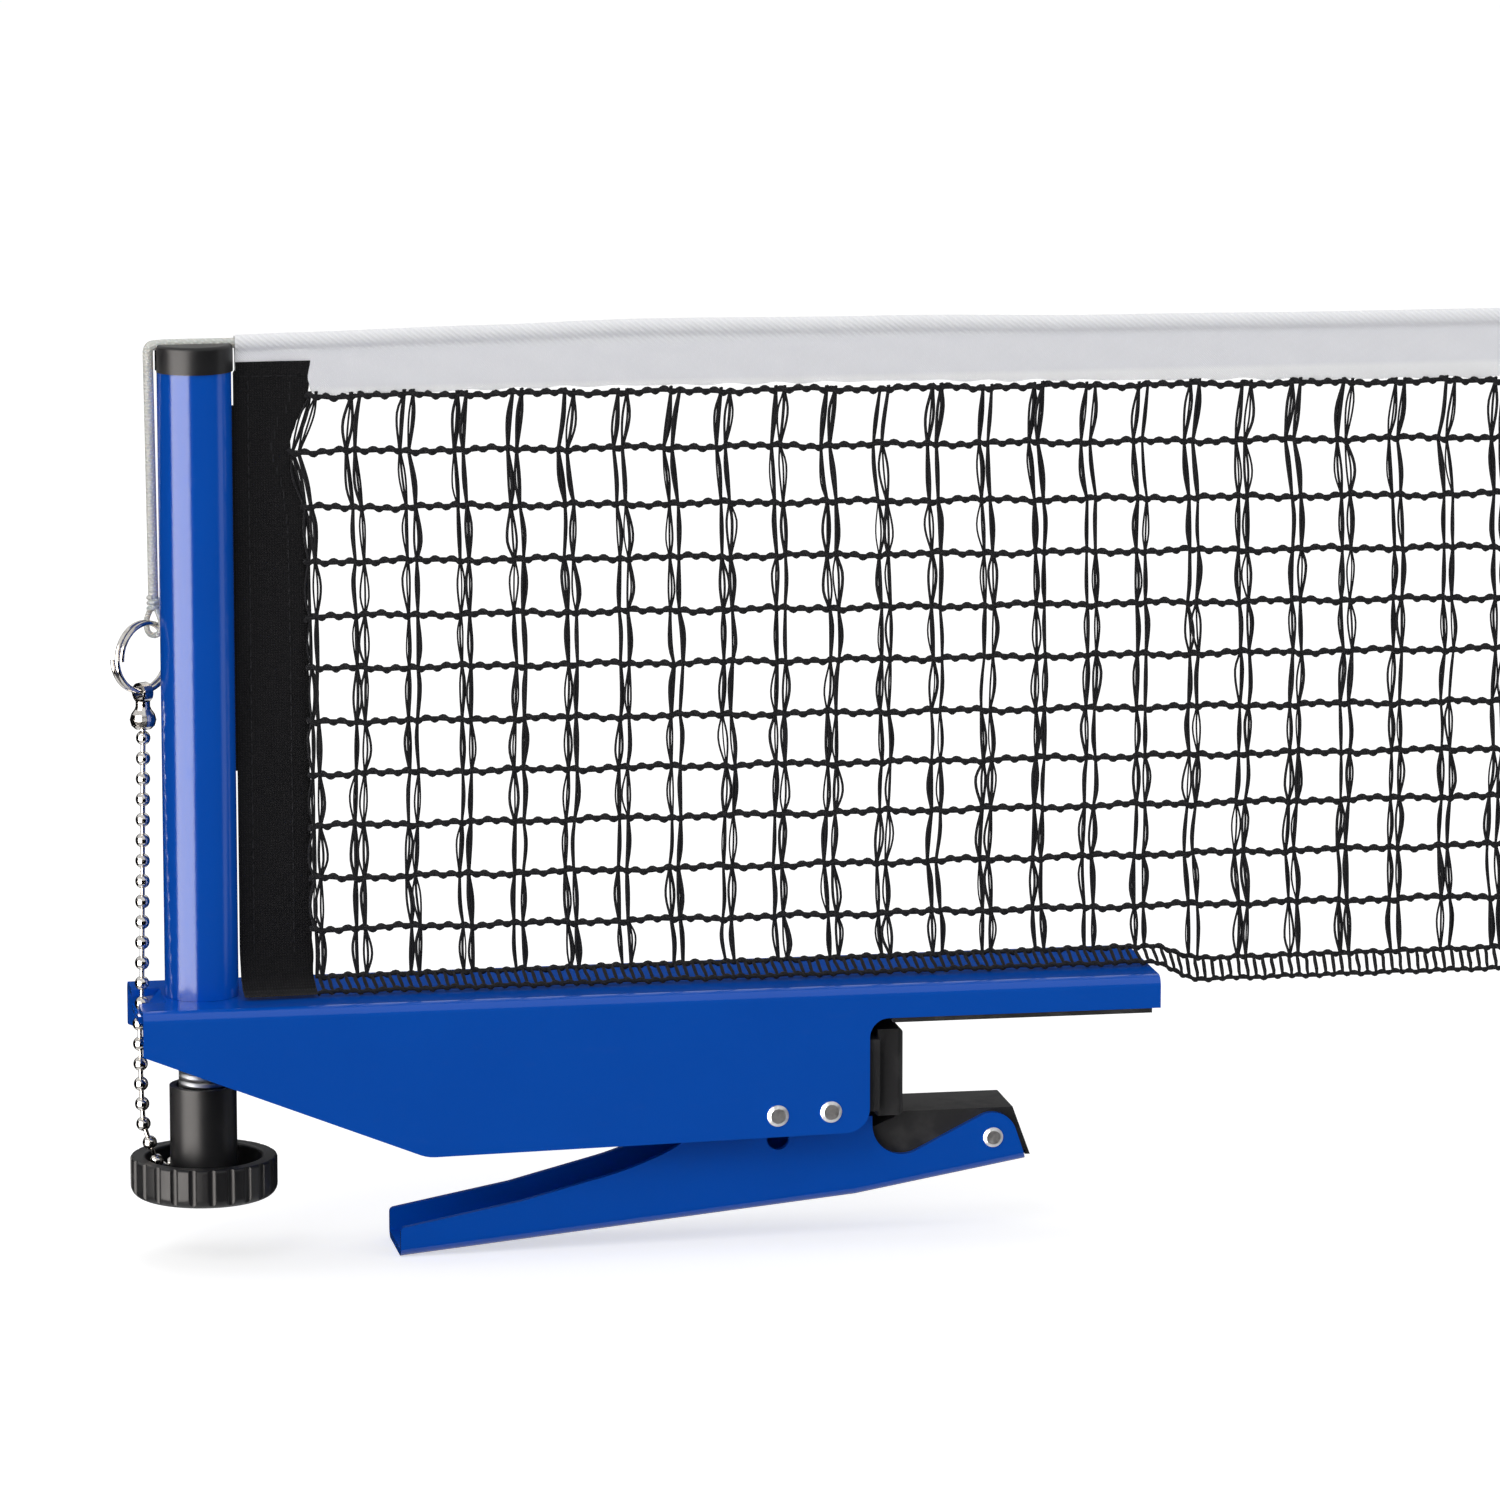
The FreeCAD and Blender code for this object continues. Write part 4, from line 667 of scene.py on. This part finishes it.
lying_heights = [8.6, 8.9, 9.2, 9.6, 10.2, 10.9]
hem_heights = [135.6, 136.0, 136.2, 136.6, 137.3, 138.2, 138.8, 139.0]
sleeve_heights = lying_heights + [11.8 + 1.4 * step for step in range(89)] + hem_heights
panel = skin("net_sleeve_panel", [sleeve_row(height) for height in sleeve_heights], ring=True, capped=True)
outward(panel, 50)
fit(panel, sleeve_cloth, "black_cloth", "post", "net_sleeve")

# %% [markdown]
# ### Fold and stitches
# Inside the post the band turns round the rod, and the slot is too narrow for the rod to slip out. It is
# a separate surface here, since its section is the same all along. Each stitch is a short bowed yarn whose
# ends dip into the cloth, which catches the light as real thread does and a painted line would not.

# %% Sleeve fold round the rod, and its stitches
fold_radius = 2.95
loop_row = [Vector((sleeve_left, -0.45, 0)), Vector((-139.5, -0.5, 0)), Vector((-141.6, -0.7, 0))]
for step in range(17):
    turn = math.radians(-28 - 304 * step / 16)
    loop_row.append(Vector((post_along + fold_radius * math.cos(turn), fold_radius * math.sin(turn), 0)))
loop_row += [Vector((-141.6, 0.7, 0)), Vector((-139.5, 0.5, 0)), Vector((sleeve_left, 0.45, 0))]
loop_rows = [[place + Vector((0, 0, height)) for place in loop_row] for height in (54.5, 80.0, 105.0, 130.0)]
loop = skin("net_sleeve_fold", loop_rows)
walled(loop, 0.5)
outward(loop, 50)
fit(loop, sleeve_cloth, "black_cloth", "post")

panel_face, hem_face = 0.76, 0.8
stitch_dip = 0.16
stitch_pitch = 2.5
stitch_tip, stitch_waist = 0.1, 0.17
stitches = []
for side in (-1, 1):
    height = 15.5
    while height < 135.0:
        for inset in (2.9, None):
            along = sleeve_left + inset if inset else sleeve_edge(height + 1) - 3.9
            share = (along - sleeve_left) / (sleeve_edge(height) - sleeve_left)
            face = side * panel_face + sleeve_sway(height, share)
            stitches.append([
                (Vector((along, face - side * stitch_dip, height)), stitch_tip),
                (Vector((along, face, height + 0.5)), stitch_waist),
                (Vector((along, face, height + 1.6)), stitch_waist),
                (Vector((along, face - side * stitch_dip, height + 2.1)), stitch_tip),
            ])
        height += stitch_pitch
    along = sleeve_left + 1.0
    while along < -123.5:
        face = side * hem_face
        stitches.append([
            (Vector((along, face - side * stitch_dip, 136.0)), stitch_tip),
            (Vector((along + 0.5, face, 136.0)), stitch_waist),
            (Vector((along + 1.6, face, 136.0)), stitch_waist),
            (Vector((along + 2.1, face - side * stitch_dip, 136.0)), stitch_tip),
        ])
        along += stitch_pitch
seam = yarns("net_sleeve_stitches", stitches, 1)
outward(seam)
fit(seam, yarn, "black_cloth", "post")

# %% [markdown]
# ## The knitted net
# A warp-knitted net has no knots. Each row is a straight core with one yarn laid round it, which shows as
# bumps above and below by turns. Two loops of fine yarn side by side hang from row to row, spread into a
# leaf shape between them and close again. The rows run slightly downhill to the right.

# %% Rows of the net
ROWS_LEFT = [131.4, 119.9, 108.3, 97.2, 86.0, 75.1, 64.1, 53.3, 42.6, 31.7, 21.1]
ROWS_RIGHT = [129.0, 117.0, 105.0, 93.9, 83.1, 72.3, 61.1, 51.0, 40.9, 30.4, 19.4]
SWAY = [0.3, -0.8, 0.2, 0.3, 0.4, 0.6, 0.2, 0.4, 0.0, -0.3, 0.1, 0.3]
mesh_columns = 24
band_along = [(-121.7, 11.3), (54.1, 11.3), (66.1, 8.3), (140.0, 8.3)]
net_end = mesh_start + mesh_columns * mesh_pitch + 0.6
net_forward = 3.4
first_row_forward = 0.55


def lean(height):
    """How far the net leans towards the viewer, because its lower edge rests on the bracket."""
    return -net_forward * (131.2 - height) / 120.0


def row_height(row, along):
    """Height of a row of the net at one place along it; the row after the last is the lower band."""
    if row == len(ROWS_LEFT):
        return along_line(band_along, along)
    slope = (along + 100.0) / 220.0
    return ROWS_LEFT[row] + (ROWS_RIGHT[row] - ROWS_LEFT[row]) * slope


def wander(row, along):
    """Small unevenness of a row."""
    return 0.22 * math.sin(along * 0.23 + row * 1.9) + 0.14 * math.sin(along * 0.61 + row * 2.7)


def laid_cord(start, end, middle, core, wrap, pitch, turn):
    """A straight core and one yarn laid round it; middle gives its place."""
    strands = []
    count = int((end - start) / 1.6)
    places = [start + (end - start) * step / count for step in range(count + 1)]
    strands.append([(middle(along), core) for along in places])
    count = int((end - start) / (pitch / 9))
    laid = []
    for step in range(count + 1):
        along = start + (end - start) * step / count
        angle = turn + 2 * math.pi * along / pitch
        out = Vector((0, math.cos(angle), math.sin(angle))) * (core * 1.05)
        laid.append((middle(along) + out, wrap))
    strands.append(laid)
    return strands


strands = []
for row in range(len(ROWS_LEFT)):
    start = sleeve_edge(ROWS_LEFT[row]) - 0.8

    def middle(along, row=row):
        height = row_height(row, along) + wander(row, along)
        forward = first_row_forward if row == 0 else 0.0
        return Vector((along, lean(height) - forward, height))

    strands += laid_cord(start, net_end, middle, 0.5, 0.47, 3.5, row * 1.3)
rows = yarns("net_mesh_rows", strands, 1)
outward(rows)
fit(rows, yarn, "net_yarn", "post", "net_mesh")

# %% [markdown]
# ### Hanging loops
# Each loop is three strands from one row to the next. They start and end close together and bow apart by
# an amount drawn from seeded dice, so the meshes look unlike each other and every run is the same.

# %% Hanging loops of the net
strands = []
for column in range(mesh_columns + 1):
    base = mesh_start + column * mesh_pitch
    shifts = [sway + dice.uniform(-0.35, 0.35) for sway in SWAY]
    for row in range(len(ROWS_LEFT)):
        for side in (-0.92, 0.92):
            tops = []
            for level_row, shift in ((row, shifts[row]), (row + 1, shifts[row + 1])):
                along = base + side + shift
                height = row_height(level_row, along) + wander(level_row, along)
                if column == 0:
                    along = sleeve_edge(height) + 0.9 + side * 0.7
                tops.append(Vector((along, lean(height), height)))
            top, foot = tops
            if row == 0:
                top.y -= first_row_forward
            bow = dice.uniform(-0.35, 0.5) * (1 if side > 0 else -1)
            spread = dice.choice([0.25, 0.45, 0.7, 0.95, 1.25])
            peak = dice.uniform(0.35, 0.65)
            for number, share_out in enumerate((-1.0, 0.15, 1.0)):
                reach = bow + share_out * spread * dice.uniform(0.45, 0.8)
                depth = dice.uniform(-0.25, 0.25)
                thickness = dice.choice([0.22, 0.27, 0.33])
                strand = []
                for step in range(10):
                    share = step / 9
                    place = top.lerp(foot, share)
                    eased = share / (2 * peak) if share < peak else 1 - (1 - share) / (2 * (1 - peak))
                    bulge = math.sin(math.pi * eased) ** 1.3
                    place.x += reach * bulge + share_out * 0.12
                    place.y += depth * bulge + (number - 1) * 0.18
                    strand.append((place, thickness))
                if row == 0:
                    strand.insert(0, (top + Vector((share_out * 0.15, -0.25, 0.9)), thickness))
                strands.append(strand)
loops = yarns("net_mesh_loops", strands, 0)
outward(loops)
fit(loops, yarn, "net_yarn", "post")

# %% [markdown]
# ### Lower band
# The net's lower edge is a narrow ladder: two laid cords with thick slanted rungs between them. It lies
# forward on the bracket's top and hangs straight down past the bracket's end.

# %% Lower band of the net
band_width = 5.5


def band_frame(along):
    """Upper line of the lower band and the way down it: it leans on the bracket, then hangs."""
    lying = 1 - along_line([(54.1, 0.0), (66.1, 1.0)], along)
    forward = 0.836 * lying
    way = Vector((0, -forward, -math.sqrt(1 - forward * forward)))
    return Vector((along, -net_forward, along_line(band_along, along))), way


def band_top(along):
    return band_frame(along)[0] + Vector((0, 0, 0.12 * math.sin(along * 0.7)))


def band_foot(along):
    place, way = band_frame(along)
    return place + way * (band_width - 1.0) + Vector((0, 0, 0.12 * math.sin(along * 0.53 + 1)))


strands = laid_cord(-121.6, net_end, band_top, 0.42, 0.4, 3.3, 0.4)
strands += laid_cord(-121.6, net_end, band_foot, 0.38, 0.36, 3.0, 2.0)
along = -121.0
while along < net_end - 1.0:
    top, foot = band_top(along), band_foot(along + 0.7)
    side = dice.uniform(-0.12, 0.12)
    out = Vector((0, -0.12, 0.05))
    strands.append([
        (top, 0.3),
        (top.lerp(foot, 0.3) + out + Vector((side, 0, 0)), 0.42),
        (top.lerp(foot, 0.7) + out - Vector((side, 0, 0)), 0.4),
        (foot, 0.28),
    ])
    along += 1.85 + dice.uniform(-0.12, 0.12)
band = yarns("net_lower_band", strands, 1)
outward(band)
fit(band, yarn, "net_yarn", "post", "net_bottom_band")

# %% [markdown]
# ## The net's cord
# The cord runs inside the tape's fold, leaves it at the post, lies in the cap's groove and comes down
# beside the tube. A small eye ties it to the split ring, which a finger pulls to tighten the net.


# %% Cord in the tape and down to the ring
def cord_curve(name, route, radius):
    """A smooth cord whose control points are the route, in millimetres."""
    curve = bpy.data.curves.new(name, "CURVE")
    curve.dimensions = "3D"
    curve.bevel_depth = radius * MM
    curve.bevel_resolution = 4
    curve.use_fill_caps = True
    spline = curve.splines.new("NURBS")
    spline.points.add(len(route) - 1)
    for point, place in zip(spline.points, route):
        point.co = (*(Vector(place) * MM), 1)
    spline.order_u = 3
    spline.use_endpoint_u = True
    spline.resolution_u = 8
    piece = bpy.data.objects.new(name, curve)
    bpy.context.scene.collection.objects.link(piece)
    return piece


cord_radius = 1.05
hem_route = [(min(along, 139.7), 0.0, top - roll_radius - cord_gap) for along, top in TAPE_TOP]
hem = cord_curve("net_cord_in_tape", hem_route, cord_radius)
hem.data.materials.append(braid.material)
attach(hem, "post")
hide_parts("hem_cord")
Vector(hem_route[0]) * MM

tail_route = [
    (-136.6, 0.0, 142.9), (-146.5, 0.0, 142.9), (-152.4, 0.0, 142.9), (-154.3, 0.0, 142.5),
    (-154.2, 0.0, 139.0), (-153.5, 3.8, 104.0), (-153.3, 5.3, 93.0), (-153.2, 5.6, 88.4),
]
tail = cord_curve("net_cord_tail", tail_route, 0.0)
line = bpy.data.meshes.new_from_object(tail)
tail_line = [vertex.co.copy() for vertex in line.vertices]
tail.data.bevel_depth = cord_radius * MM
alone(tail)
bpy.ops.object.convert(target="MESH")
tail = bpy.context.object
tail_length = sum((second - first).length for first, second in zip(tail_line, tail_line[1:]))
print("cord tail in mm:", round(tail_length / MM, 1))

# %% [markdown]
# ### Eye and knot
# The cord's end goes round both turns of the ring and is whipped above it. The eye and the whipping are
# smooth curves made into tubes, and they stay where they are when the post rises.

# %% Eye of the cord on the split ring
ring_middle = Vector((-155.6, 4.0, 78.0))
ring_radius = 7.1
ring_turned = math.radians(36)
hold_angle = math.radians(65)
ring_way = Vector((math.cos(ring_turned), math.sin(ring_turned), 0))
ring_side = Vector((ring_way.y, -ring_way.x, 0))
hold_way = ring_way * math.cos(hold_angle) + Vector((0, 0, math.sin(hold_angle)))
held = ring_middle + ring_radius * hold_way
knot = Vector(tail_route[-1])
eye_route = [
    knot + Vector((0, 0, 0.6)), held + ring_side * 1.6 + Vector((0, 0, 2.2)), held + ring_side * 2.5,
    held + ring_side * 1.5 - Vector((0.2, 0.1, 2.3)), held - ring_side * 1.5 - Vector((0.2, 0.1, 2.3)),
    held - ring_side * 2.5, held - ring_side * 1.6 + Vector((0, 0, 2.2)), knot + Vector((0.2, 0.2, 0.6)),
]
eye = cord_curve("net_cord_eye", eye_route, 0.6)
wrap_route = []
for step in range(20):
    turn = 2 * math.pi * step / 7
    around = Vector((math.cos(turn), math.sin(turn), 0)) * 1.1
    wrap_route.append(knot + around + Vector((0, 0, -1.2 + 0.16 * step)))
wrap = cord_curve("net_cord_knot", wrap_route, 0.5)
for piece in (eye, wrap):
    alone(piece)
    bpy.ops.object.convert(target="MESH")
eye.select_set(True)
wrap.select_set(True)
bpy.context.view_layer.objects.active = eye
bpy.ops.object.join()
outward(eye)
fit(eye, braid, "white_cord", "bracket")

outward(tail)
fit(tail, braid, "white_cord", None, "tension_cord")
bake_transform(tail)
leaving = tail_line[0]
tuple(leaving)
